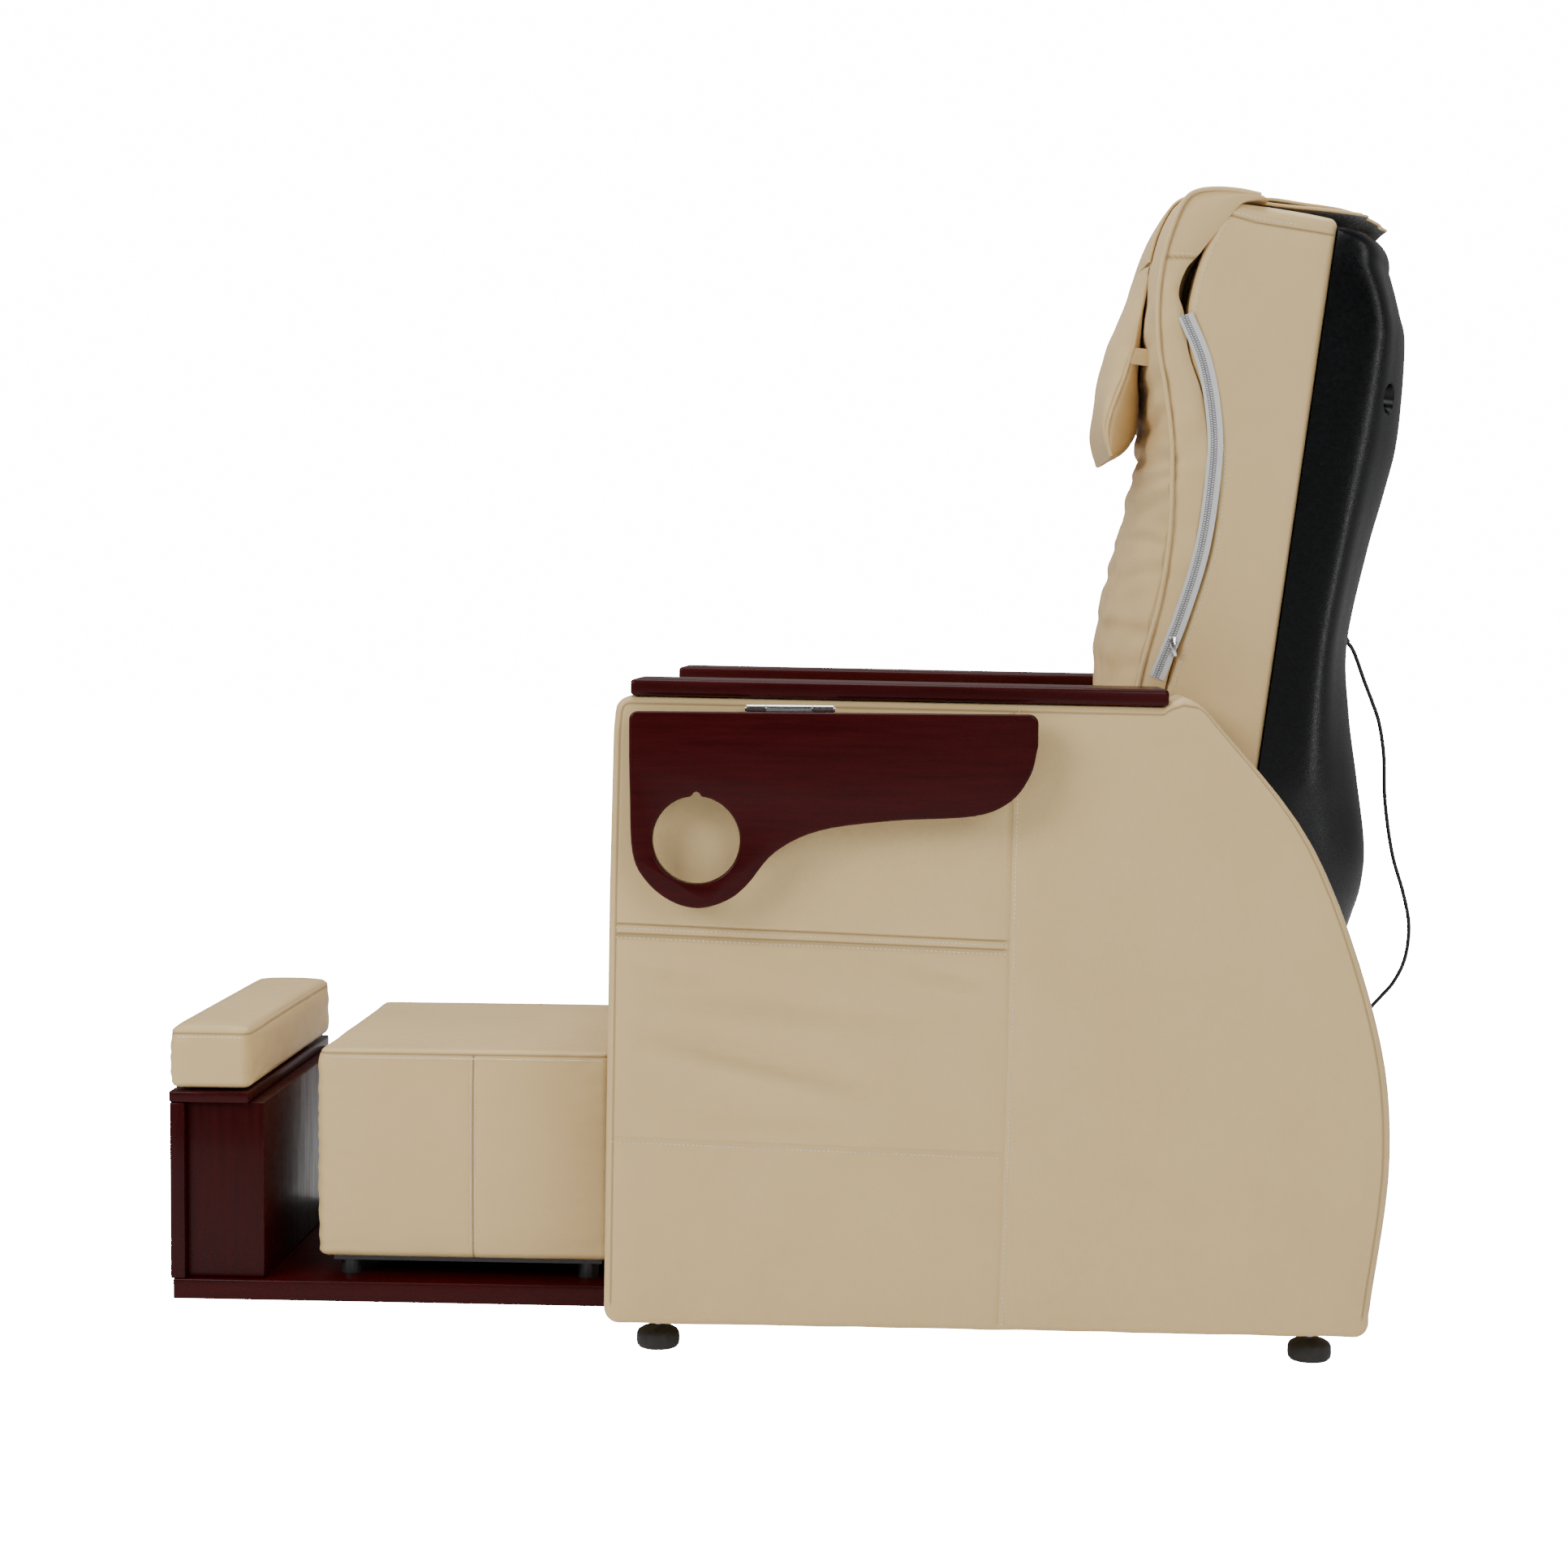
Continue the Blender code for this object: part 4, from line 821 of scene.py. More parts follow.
def makeSide():
    low = (side["nominal"][0], side["inner"], side["bottom"])
    high = (side["nominal"][2], side["outer"], side["levels"][3])
    rim = side["rim"]
    edge = [(low[0] + 0.006, 0.013, 0.0013), (high[0] - 0.006, 0.013, 0.0013)]
    edge += [(side["nominal"][1], 0.006, 0.0007), (0.655, 0.03, 0.003)]
    xs = gridLines(low[0], high[0], 0.0075, edge)
    closer = [(low[2] + 0.006, 0.013, 0.0013), (high[2] - 0.006, 0.013, 0.0013)]
    zs = gridLines(low[2], high[2], 0.0075, closer + [(0.252, 0.006, 0.0007), (0.4915, 0.013, 0.0007)])
    ys = np.concatenate((low[1] + np.linspace(0, rim, 5), np.linspace(0.275, 0.355, 4),
                         high[1] - rim + np.linspace(0, rim, 8)))
    verts, faces = boxGrid(xs, ys, zs)
    flat = verts.copy()
    roundInPlane(verts, 0, 2, low, high, side["corner"])
    roundRim(verts, low, high, 1, (0, 2), side["corner"], rim)
    inset = np.minimum.reduce((flat[:, 0] - low[0], high[0] - flat[:, 0],
                               flat[:, 2] - low[2], high[2] - flat[:, 2]))
    x, z = verts[:, 0].copy(), verts[:, 2].copy()
    trueX = x
    for attempt in range(3):
        trueZ = sideHeight(z, trueX)
        trueX = sideAcross(x, trueZ)
    swell, shade = sideRelief(trueX, trueZ)
    swell += 0.0009 * softNoise(np.stack((trueX, trueX * 0, trueZ), 1), 9.0, 4.0)
    face = np.clip((verts[:, 1] - (high[1] - rim)) / rim, 0, 1) ** 2
    edgeFade = np.clip(inset / 0.03, 0, 1) ** 0.8
    # a groove just inside the rim: dented in, and darkened with painted shade below
    shadedGroove = bell(inset - side["seamInset"], 0.0012) * (flat[:, 2] > low[2] + 0.02)
    verts[:, 1] += face * (swell * edgeFade - 0.0010 * shadedGroove)
    edgeNoise = 0.0011 * softNoise(np.stack((trueX, verts[:, 1], trueZ), 1), 22.0, 9.0)
    verts[:, 0] = trueX
    verts[:, 2] = np.maximum(trueZ + edgeNoise * (flat[:, 2] < low[2] + 0.05), side["bottom"])
    verts[:, 1] *= -1
    piece = newPiece("leftSideCover", verts, [f[::-1] for f in faces])
    # painted shade along the seams and in the rim groove
    setPaintedShade(piece, np.maximum(shade * face * (inset > 0.008), 0.75 * shadedGroove * face))
    return piece


def makeSides():
    cover = makeSide()
    finishPiece(cover, "leather", "root", ["left_side_upholstery"], 60)
    seams = seamLines()
    rows = {
        "UpperStitch": seams["upper"] - (0, 0.0048), "BandStitch": seams["band"] - (0, 0.0048),
        "LowerStitch": seams["lower"] - (0, 0.0048), "UprightStitch": seams["upright"] + (0.0060, 0),
    }
    for name, line in rows.items():
        line = evenLine(line, 0.004)
        row = stitchRow("leftSide" + name, layOn(meshPlaces(cover), line), (0, -1, 0), "root")
        finishPiece(mirrored(row, "rightSide" + name), "thread", "root")
    other = finishPiece(mirrored(cover, "rightSideCover"), "leather", "root", ["right_side_upholstery"], 60)
    print("side covers made")


def trayOutline():
    def arc(centre, radius, start, end, count):
        turns = [math.radians(start + (end - start) * n / count) for n in range(count + 1)]
        return [(centre[0] + radius * math.cos(t), centre[1] + radius * math.sin(t)) for t in turns]
    left, right = tray["ends"]
    belly = [tuple(p) for p in smoothLine(tray["belly"], 5)]
    rear = arc((right - 0.010, tray["top"] - 0.010), 0.010, 0, 90, 6)
    front = arc((left + 0.009, tray["top"] - 0.009), 0.009, 90, 180, 6)
    x, z, r = tray["cup"]
    half = math.degrees(math.asin(tray["notch"] / r))
    hole = arc((x, z), r, 90 + half, 450 - half, 56) + arc((x, z + r), tray["notch"], 0, 180, 6)[1:-1]
    return belly + rear + front, hole


def makeTrays():
    outline, hole = trayOutline()
    low, high = tray["faces"]
    piece = flatPlate("leftTrayBoard", outline, -high, -low, 0.0042, 4, hole)
    finishPiece(piece, "woodLong", "left_tray", ["left_tray"], 40)
    finishPiece(mirrored(piece, "rightTrayBoard"), "woodLong", "right_tray", ["right_tray"], 40)
    print("trays made")


def makeArmBoards():
    low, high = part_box("left_arm_board")
    length = high.x - low.x
    thick = 0.019
    fall = math.radians(0.70)
    ends = (-length / 2, low.y, -thick / 2), (length / 2, high.y, thick / 2)
    piece = board("leftArmBoard", *ends, 0.0048, 4)
    placeBy(piece, Matrix.Translation(((low.x + high.x) / 2, 0, (low.z + high.z) / 2))
            @ Matrix.Rotation(fall, 4, "Y"))
    finishBoth(piece, "woodLong", "root", ["left_arm_board"])
    print("arm boards made")


foot = {
    "pad": ((0.0, 0.0265), (0.0075, 0.0265), (0.0125, 0.0250), (0.0190, 0.0226), (0.0232, 0.0200),
            (0.0252, 0.0160),
            (0.0255, 0.0075), (0.0246, 0.0032), (0.0225, 0.0006), (0.0215, 0.0), (0.0, 0.0)),
    "stem": ((0.0, 0.088), (0.005, 0.088), (0.005, 0.026), (0.0, 0.026)),
    "nut": (0.0085, 0.0305, 0.0395),
}


def makeFeet():
    for end, x in (("Front", -0.139), ("Rear", 0.620)):
        node = f"left_{end.lower()}_foot"
        pad = turned(f"left{end}FootPad", foot["pad"], (x, -0.315, 0))
        stem = turned(f"left{end}FootStem", foot["stem"], (x, -0.315, 0), steps=16)
        bpy.ops.object.select_all(action="DESELECT")
        radius, low, high = foot["nut"]
        bpy.ops.mesh.primitive_cylinder_add(vertices=6, radius=radius, depth=high - low,
                                            location=(x, -0.315, (low + high) / 2))
        nut = bpy.context.object
        nut.name = f"left{end}FootNut"
        bpy.ops.object.transform_apply(location=True, rotation=True, scale=True)
        bpy.ops.object.mode_set(mode="EDIT")
        bpy.ops.mesh.select_all(action="SELECT")
        bpy.ops.mesh.bevel(offset=0.0009, segments=2, affect="EDGES")
        bpy.ops.object.mode_set(mode="OBJECT")
        for piece, look in ((pad, "rubber"), (stem, "chrome"), (nut, "chrome")):
            finishBoth(piece, look, "root", [node] if piece is pad else [])
    print("feet made")


makeSides()
makeTrays()
makeArmBoards()
makeFeet()


# ---- back: every piece is made upright about the pivot, then leaned
lean = Matrix.Translation((0.45, 0, 0.47)) @ Matrix.Rotation(math.radians(7.3), 4, "Y")
shell = {
    "rear": ((-0.005, 0.225), (0.054, 0.237), (0.093, 0.243), (0.143, 0.240), (0.221, 0.220), (0.2985, 0.199),
             (0.384, 0.184), (0.498, 0.192), (0.569, 0.2015), (0.639, 0.208), (0.747, 0.201), (0.785, 0.189),
             (0.8315, 0.1695), (0.868, 0.149)),
    "crease": ((-0.005, 0.120), (0.168, 0.138), (0.2275, 0.144), (0.3795, 0.141), (0.528, 0.146),
               (0.7205, 0.152), (0.777, 0.147), (0.823, 0.131), (0.868, 0.112)),
    "front": 0.082, "halfWidth": 0.235, "wall": 0.003, "shoulder": 0.832, "crown": 0.876, "drop": 0.018,
    "recess": (0.160, 0.678, 0.0195),
}
shellRear = smoothLine(shell["rear"], 6)
shellCrease = smoothLine(shell["crease"], 6)


def shellSection(z):
    # the shell's section at a height, as a smooth line of (x, y) from its middle to its front edge
    rear, crease, front = stations(shellRear, z), stations(shellCrease, z), shell["front"]
    half = [(rear, 0.0), (rear - 0.001, 0.085), (rear * 0.55 + crease * 0.45, 0.155), (crease, 0.203),
            (front, shell["halfWidth"])]
    whole = [(x, -y) for x, y in half[:0:-1]] + half
    return smoothLine(whole, 12)[48:]


def makeShell():
    rows = np.concatenate((np.linspace(0.0, 1.0, 5)[:-1] * 0.014, np.linspace(0.014, shell["shoulder"], 120)))
    bends = np.linspace(0, math.pi / 2, 15)[1:]
    columns = 96
    bpy.ops.object.select_all(action="DESELECT")
    bpy.ops.mesh.primitive_grid_add(x_subdivisions=columns, y_subdivisions=len(rows) + len(bends), size=2)
    piece = bpy.context.object
    piece.name = "backShellMoulding"
    places = meshPlaces(piece)
    count = len(rows) + len(bends)
    across = np.round((places[:, 0] + 1) / 2 * columns).astype(int) - columns // 2
    up = np.round((places[:, 1] + 1) / 2 * count).astype(int)
    front = shell["front"]
    for row in range(count + 1):
        here = up == row
        if row == 0:
            z, flat = -0.002, 0.0
        elif row <= len(rows):
            z = rows[row - 1]
            low = max(0.014 - z, 0) / 0.014
            flat = math.sqrt(max(1 - low ** 2, 0)) * 0.12 + 0.88 if low > 0 else 1.0
        else:
            turn = bends[row - len(rows) - 1]
            z, flat = shell["shoulder"], math.cos(turn) ** 0.55
        line = smoothEnds(shellSection(min(z, shell["shoulder"])), columns // 2 + 1)
        far = np.abs(across[here])
        x = front + (line[far, 0] - front) * flat
        y = line[far, 1] * np.sign(across[here])
        if row > len(rows):
            top = shell["crown"] - shell["drop"] * (far / (columns / 2)) ** 2
            z = z + (top - z) * math.sin(turn) ** 0.9
        places[here] = np.stack((x, y, np.full(here.sum(), z) if np.isscalar(z) else z), 1)
    setPlaces(piece, places)
    selectOnly(piece)
    bpy.ops.object.mode_set(mode="EDIT")
    bpy.ops.mesh.select_all(action="SELECT")
    bpy.ops.mesh.normals_make_consistent(inside=False)
    bpy.ops.object.mode_set(mode="OBJECT")
    if meshNormals(piece)[:, 0].mean() < 0:
        piece.data.flip_normals()
    wall = piece.modifiers.new("wall", "SOLIDIFY")
    wall.thickness = shell["wall"]
    wall.offset = -1
    wall.use_rim = True
    applyModifiers(piece)
    y, z, radius = shell["recess"]
    for sign in (-1, 1):
        bpy.ops.object.select_all(action="DESELECT")
        bpy.ops.mesh.primitive_cylinder_add(vertices=48, radius=radius, depth=0.2,
                                            location=(0.20, sign * y, z), rotation=(0, math.pi / 2, 0))
        cutter = bpy.context.object
        cut = piece.modifiers.new("recess", "BOOLEAN")
        cut.object = cutter
        cut.operation = "DIFFERENCE"
        applyModifiers(piece)
        bpy.data.objects.remove(cutter)
    places = meshPlaces(piece)
    places[:, 0] = np.maximum(places[:, 0], front)
    setPlaces(piece, places)
    placeBy(piece, lean)
    finishPiece(piece, "shell", "backrest", ["back_shell"], 32)
    makeRecessCup()
    print("shell made")


def smoothEnds(line, count):
    # the same line with count points at an even spacing
    return evenLine(line, np.linalg.norm(np.diff(line, axis=0), axis=1).sum() / (count - 1))[:count]


def makeRecessCup():
    y, z, radius = shell["recess"]
    section = shellSection(z)
    wall = radius - 0.0002
    deep = 0.026
    profile = [(0.0, -deep), (wall, -deep), (wall, 0.0), (wall - 0.0016, 0.0), (wall - 0.0020, -deep + 0.004),
               (wall - 0.004, -deep + 0.002), (0.0, -deep + 0.002)]
    cup = turned("leftRecessCup", profile, (0, -y, z), "X", 48)
    places = meshPlaces(cup)
    rim = places[:, 0] > -0.002
    surface = np.interp(np.abs(places[:, 1]), section[:, 1], section[:, 0])
    places[:, 0] = np.where(rim, surface - 0.0008, places[:, 0] + surface.mean())
    setPlaces(cup, places)
    base = places[~rim, 0].min() + 0.002
    screw = [(0.0, 0.0), (0.0062, 0.0), (0.0066, 0.0018), (0.0058, 0.0036), (0.0032, 0.0042),
             (0.0030, 0.0020), (0.0, 0.0020)]
    head = turned("leftRecessScrew", screw, (base, -y, z), "X", 24)
    for piece, look in ((cup, "shell"), (head, "chrome")):
        finishBoth(placeBy(piece, lean), look, "backrest")


bolster = {
    "front": ((0.062, -0.045), (0.200, -0.045), (0.306, -0.0385), (0.389, -0.025), (0.468, -0.012),
              (0.544, -0.014), (0.5995, -0.0245), (0.662, -0.052), (0.698, -0.069), (0.745, -0.076),
              (0.802, -0.070), (0.840, -0.058), (0.873, -0.040)),
    "top": ((-0.08, 0.873), (0.0, 0.873), (0.045, 0.8715), (0.0815, 0.8685)),
    "rear": 0.0812, "inner": 0.176, "outer": 0.2325, "corner": 0.010, "rim": 0.0070, "swell": 0.0026,
    "topSeam": ((-0.046, 0.858), (-0.012, 0.8528), (0.035, 0.8512), (0.0815, 0.8500)),
}
bolsterFront = smoothLine(bolster["front"], 6)


def makeBolster():
    low = (0.0, bolster["inner"], 0.062)
    high = (0.13, bolster["outer"], 0.873)
    xs = gridLines(0.0, 0.13, 0.0045, [(0.006, 0.016, 0.0012), (0.124, 0.008, 0.0014)])
    zs = gridLines(0.062, 0.873, 0.006, [(0.850, 0.023, 0.0013)])
    rim = bolster["rim"]
    ys = np.concatenate((low[1] + np.linspace(0, rim, 5), [0.195, 0.212],
                         high[1] - rim + np.linspace(0, rim, 7)))
    verts, faces = boxGrid(xs, ys, zs)
    flat = verts.copy()
    roundInPlane(verts, 0, 2, low, high, bolster["corner"])
    roundRim(verts, low, high, 1, (0, 2), bolster["corner"], rim)
    share = verts[:, 0] / 0.13
    front = stations(bolsterFront, verts[:, 2])
    x = front + (bolster["rear"] - front) * share
    z = verts[:, 2] + (stations(bolster["top"], x) - 0.873) * np.clip((verts[:, 2] - 0.80) / 0.073, 0, 1)
    face = np.clip((verts[:, 1] - (high[1] - rim)) / rim, 0, 1) ** 2
    gap = nearLine(np.stack((x, z), 1), bolster["topSeam"])[0]
    inset = np.minimum(flat[:, 0], 0.13 - flat[:, 0])
    swell = bolster["swell"] * np.clip(inset / 0.02, 0, 1) ** 0.7
    swell -= 0.0016 * bell(gap, 0.010) + 0.0012 * bell(gap, 0.0015)
    swell += 0.0008 * softNoise(np.stack((x, x * 0, z), 1), 11.0, 2.0)
    swell -= np.clip((z - 0.858) / 0.015, 0, 1) ** 2 * 0.006
    places = np.stack((x, -(verts[:, 1] + face * swell), z), 1)
    piece = newPiece("leftBolsterCover", places, [f[::-1] for f in faces])
    # painted shade along the top seam
    setPaintedShade(piece, 0.9 * face * bell(gap, 0.0012))
    placeBy(piece, lean)
    finishPiece(piece, "leather", "backrest", ["left_bolster"], 60)
    other = finishPiece(mirrored(piece, "rightBolsterCover"), "leather", "backrest", ["right_bolster"], 60)
    stitchLine = np.stack((bolsterFront[:, 1] + 0.0085, bolsterFront[:, 0]), 1)
    stitchLine = stitchLine[(stitchLine[:, 1] < 0.862) & (stitchLine[:, 1] > 0.30)]
    topLine = np.array(bolster["topSeam"]) + (0.0, 0.0052)
    for name, line in (("BolsterStitch", stitchLine), ("BolsterTopStitch", topLine[:-1])):
        row = stitchRow("left" + name, layOn(places, evenLine(line, 0.005)), (0, -1, 0), "backrest")
        placeBy(row, lean)
        finishPiece(mirrored(row, "right" + name), "thread", "backrest")
    print("bolsters made")


pad = {
    # from bottom to top: rear at the sides, rear in the middle, piping, front
    "rungs": (
        ((-0.0465, 0.062), (-0.058, 0.062), (-0.073, 0.062), (-0.098, 0.062)),
        ((-0.0465, 0.200), (-0.058, 0.200), (-0.073, 0.200), (-0.100, 0.200)),
        ((-0.0405, 0.300), (-0.058, 0.300), (-0.0715, 0.300), (-0.108, 0.294)),
        ((-0.0335, 0.350), (-0.058, 0.350), (-0.0665, 0.350), (-0.114, 0.3475)),
        ((-0.0250, 0.404), (-0.058, 0.404), (-0.0600, 0.404), (-0.114, 0.406)),
        ((-0.0140, 0.475), (-0.058, 0.475), (-0.0590, 0.475), (-0.105, 0.470)),
        ((-0.0160, 0.550), (-0.058, 0.550), (-0.0665, 0.550), (-0.0965, 0.550)),
        ((-0.0255, 0.598), (-0.058, 0.598), (-0.0740, 0.596), (-0.0940, 0.595)),
        ((-0.0480, 0.652), (-0.062, 0.652), (-0.0885, 0.650), (-0.1050, 0.648)),
        ((-0.0690, 0.695), (-0.073, 0.695), (-0.1020, 0.692), (-0.1145, 0.690)),
        ((-0.0800, 0.737), (-0.080, 0.737), (-0.1105, 0.737), (-0.1205, 0.737)),
        ((-0.0900, 0.762), (-0.081, 0.765), (-0.1130, 0.770), (-0.1240, 0.770)),
        ((-0.0850, 0.790), (-0.078, 0.790), (-0.1125, 0.798), (-0.1250, 0.797)),
        ((-0.0730, 0.808), (-0.071, 0.808), (-0.1090, 0.825), (-0.1215, 0.826)),
        ((-0.0600, 0.830), (-0.062, 0.830), (-0.1030, 0.852), (-0.1145, 0.852)),
        ((-0.0480, 0.848), (-0.052, 0.858), (-0.0950, 0.8715), (-0.1050, 0.8715)),
        ((-0.0400, 0.862), (-0.043, 0.870), (-0.0820, 0.8810), (-0.0910, 0.8820)),
        ((-0.0300, 0.874), (-0.030, 0.877), (-0.0610, 0.8858), (-0.0680, 0.8885)),
        ((-0.0140, 0.879), (-0.014, 0.878), (-0.0350, 0.8870), (-0.0420, 0.8905)),
        ((-0.0020, 0.880), (-0.002, 0.880), (-0.0100, 0.8850), (-0.0120, 0.8895)),
    ),
    "halfWidth": 0.2345, "gusset": 0.178, "crossSeam": 0.802, "pinches": (
        # height, depth, half height of each fold across the front
        (0.215, 0.0016, 0.012), (0.262, 0.0022, 0.010), (0.322, 0.0018, 0.012), (0.371, 0.0022, 0.009),
        (0.432, 0.0034, 0.010), (0.470, 0.0020, 0.007), (0.512, 0.0042, 0.010), (0.548, 0.0040, 0.007),
        (0.578, 0.0052, 0.008), (0.612, 0.0030, 0.008), (0.655, 0.0026, 0.010), (0.702, 0.0020, 0.011),
    ),
}
rungs = smoothLine(np.array(pad["rungs"]).reshape(len(pad["rungs"]), 8), 16)


def padPoint(kind, place):
    # a point on one of the pad's four profile lines at a place from 0 to 1 along it
    spot = place * (len(rungs) - 1)
    return np.stack([np.interp(spot, np.arange(len(rungs)), rungs[:, 2 * kind + n]) for n in (0, 1)], 1)


def padPlaces():
    # places along the pad at an even spacing of its front profile
    front = rungs[:, 6:8]
    travelled = np.concatenate(([0], np.cumsum(np.linalg.norm(np.diff(front, axis=0), axis=1))))
    stops = np.linspace(0, travelled[-1], 290)
    return np.interp(stops, travelled, np.arange(len(rungs))) / (len(rungs) - 1)


def padCrumple(x, y, z):
    # how far folds and dents move the pad's face at a place
    wave = 0.020 * softNoise(np.stack((y * 0, y * 5, z * 2), 1), 1.0, 3.0)
    crumple = np.zeros(len(x))
    for n, (height, deep, tall) in enumerate(pad["pinches"]):
        drift = 0.016 * softNoise(np.stack((y * 9, y * 0 + n, z * 0), 1), 1.0, n * 3.7)
        reach = 0.55 + 0.45 * softNoise(np.stack((y * 7 + n * 5.0, y * 0, z * 0), 1), 1.0, n * 1.3)
        gap = z - height - drift - wave * 0.2
        crumple += deep * (-bell(gap, tall) + 0.7 * bell(gap - tall * 1.7, tall)) * np.clip(reach, 0, 1)
    calm = np.clip((0.80 - z) / 0.06, 0.3, 1)
    return crumple + 0.0022 * calm * softNoise(np.stack((y * 1.2, x * 2, z * 2.2), 1), 14.0, 6.0)


def padFace(place, y):
    # the pad's front surface at places along it and across it
    piping, front = padPoint(2, place), padPoint(3, place)
    swing = (1 - np.abs(y / pad["halfWidth"]) ** 3.4)[:, None]
    spots = piping + (front - piping) * swing
    spots[:, 0] -= 1.25 * padCrumple(spots[:, 0], y, spots[:, 1])
    return spots


def makePad():
    half = pad["halfWidth"]
    ys = gridLines(-half, half, 0.0062, [(-half + 0.012, 0.02, 0.0018), (half - 0.012, 0.02, 0.0018)])
    depths = np.linspace(0, 1, 15)
    places = padPlaces()
    verts, faces = boxGrid(depths, ys, np.arange(len(places), dtype=float))
    depth, y = verts[:, 0], verts[:, 1]
    place = places[verts[:, 2].astype(int)]
    edge, middle, piping, front = (padPoint(n, place) for n in range(4))
    share = np.clip((np.abs(y) - (pad["gusset"] - 0.012)) / 0.012, 0, 1)[:, None]
    rear = middle + (edge - middle) * share
    swing = (1 - np.abs(y / half) ** 3.4)[:, None]
    face = piping + (front - piping) * swing
    spots = rear + (face - rear) * depth[:, None]
    x, z = spots[:, 0], spots[:, 1]
    widen = 0.0045 * np.sin(np.pi * np.clip(depth, 0, 1)) * (np.abs(y) > half - 0.001)
    out = np.where(np.abs(y) > half - 1e-5, np.sign(y) * (half - 0.0025 + widen), y)
    crumple = padCrumple(x, y, z)
    fade = np.clip(depth, 0, 1) ** 2 * np.clip((z - 0.06) / 0.05, 0, 1)
    x = x - crumple * fade * 1.25
    sideFolds = softNoise(np.stack((x * 14 + z * 9, y * 0, z * 26 - x * 12), 1), 1.0, 8.0)
    tight = bell(z - 0.60, 0.09) + 0.8 * bell(z - 0.76, 0.04)
    onSide = np.abs(y) > half - 0.001
    seamGap = np.abs(z - pad["crossSeam"] - 0.1 * (x + 0.09))
    sway = sideFolds * (0.0022 + 0.0034 * tight) * np.sin(np.pi * depth)
    out = out + np.sign(y) * onSide * (sway - 0.0014 * bell(seamGap, 0.0022))
    piece = newPiece("backPadCover", np.stack((x, out, z), 1), faces)
    orientOut(piece)
    # painted shade beside the piping and along the cross seam on the sides
    nearPiping = (np.abs(y) > half - 0.008) & (depth > 0.9)
    setPaintedShade(piece, np.maximum(0.35 * nearPiping * bell(1 - depth, 0.06),
                                0.8 * onSide * bell(seamGap, 0.0016)))
    across = np.linspace(-0.104, -0.076, 8)
    seam = np.stack((across, pad["crossSeam"] + 0.1 * (across + 0.09) + 0.0045), 1)
    row = stitchRow("leftPadCrossStitch", layOn(meshPlaces(piece), seam), (0, -1, 0), "backrest")
    placeBy(row, lean)
    finishPiece(mirrored(row, "rightPadCrossStitch"), "thread", "backrest")
    placeBy(piece, lean)
    finishPiece(piece, "leather", "backrest", ["back_pad"], 60)
    line = padPoint(2, np.linspace(0.02, 0.999, 190))
    path = np.stack((line[:, 0], np.full(len(line), -half - 0.0002), line[:, 1]), 1)
    path[:, 0] -= 0.0012
    cord = placeBy(tubeAlong("leftPadPiping", path, 0.0028, 10), lean)
    finishBoth(cord, "leather", "backrest")
    print("back pad made")


def orientOut(piece):
    # turn a closed piece's faces outwards
    shape = bmesh.new()
    shape.from_mesh(piece.data)
    bmesh.ops.recalc_face_normals(shape, faces=shape.faces)
    if shape.calc_volume(signed=True) < 0:
        bmesh.ops.reverse_faces(shape, faces=shape.faces)
    shape.to_mesh(piece.data)
    shape.free()


zipper = {
    "line": ((-0.0790, 0.7365), (-0.0480, 0.682), (-0.0260, 0.609), (-0.0200, 0.543), (-0.0215, 0.466),
             (-0.034, 0.388), (-0.052, 0.313)),
    "face": 0.2362, "thick": 0.0011, "tape": (-0.0090, 0.0090), "chain": (-0.0052, 0.0022), "pitch": 0.0028,
}


def stripAlong(name, line, low, high, near, far):
    # a thin strip beside a line in X and Z, from low to high across it, between two depths in Y
    ways = np.gradient(line, axis=0)
    ways /= np.linalg.norm(ways, axis=1)[:, None]
    across = np.stack((-ways[:, 1], ways[:, 0]), 1)
    verts, faces = [], []
    for spot, way in zip(line, across):
        for offset, y in ((low, near), (high, near), (high, far), (low, far)):
            verts.append((spot[0] + way[0] * offset, y, spot[1] + way[1] * offset))
    for n in range(len(line) - 1):
        for k in range(4):
            a, b = 4 * n + k, 4 * n + (k + 1) % 4
            faces.append((a, b, b + 4, a + 4))
    last = 4 * (len(line) - 1)
    faces += [(3, 2, 1, 0), (last, last + 1, last + 2, last + 3)]
    piece = newPiece(name, verts, faces)
    orientOut(piece)
    return piece


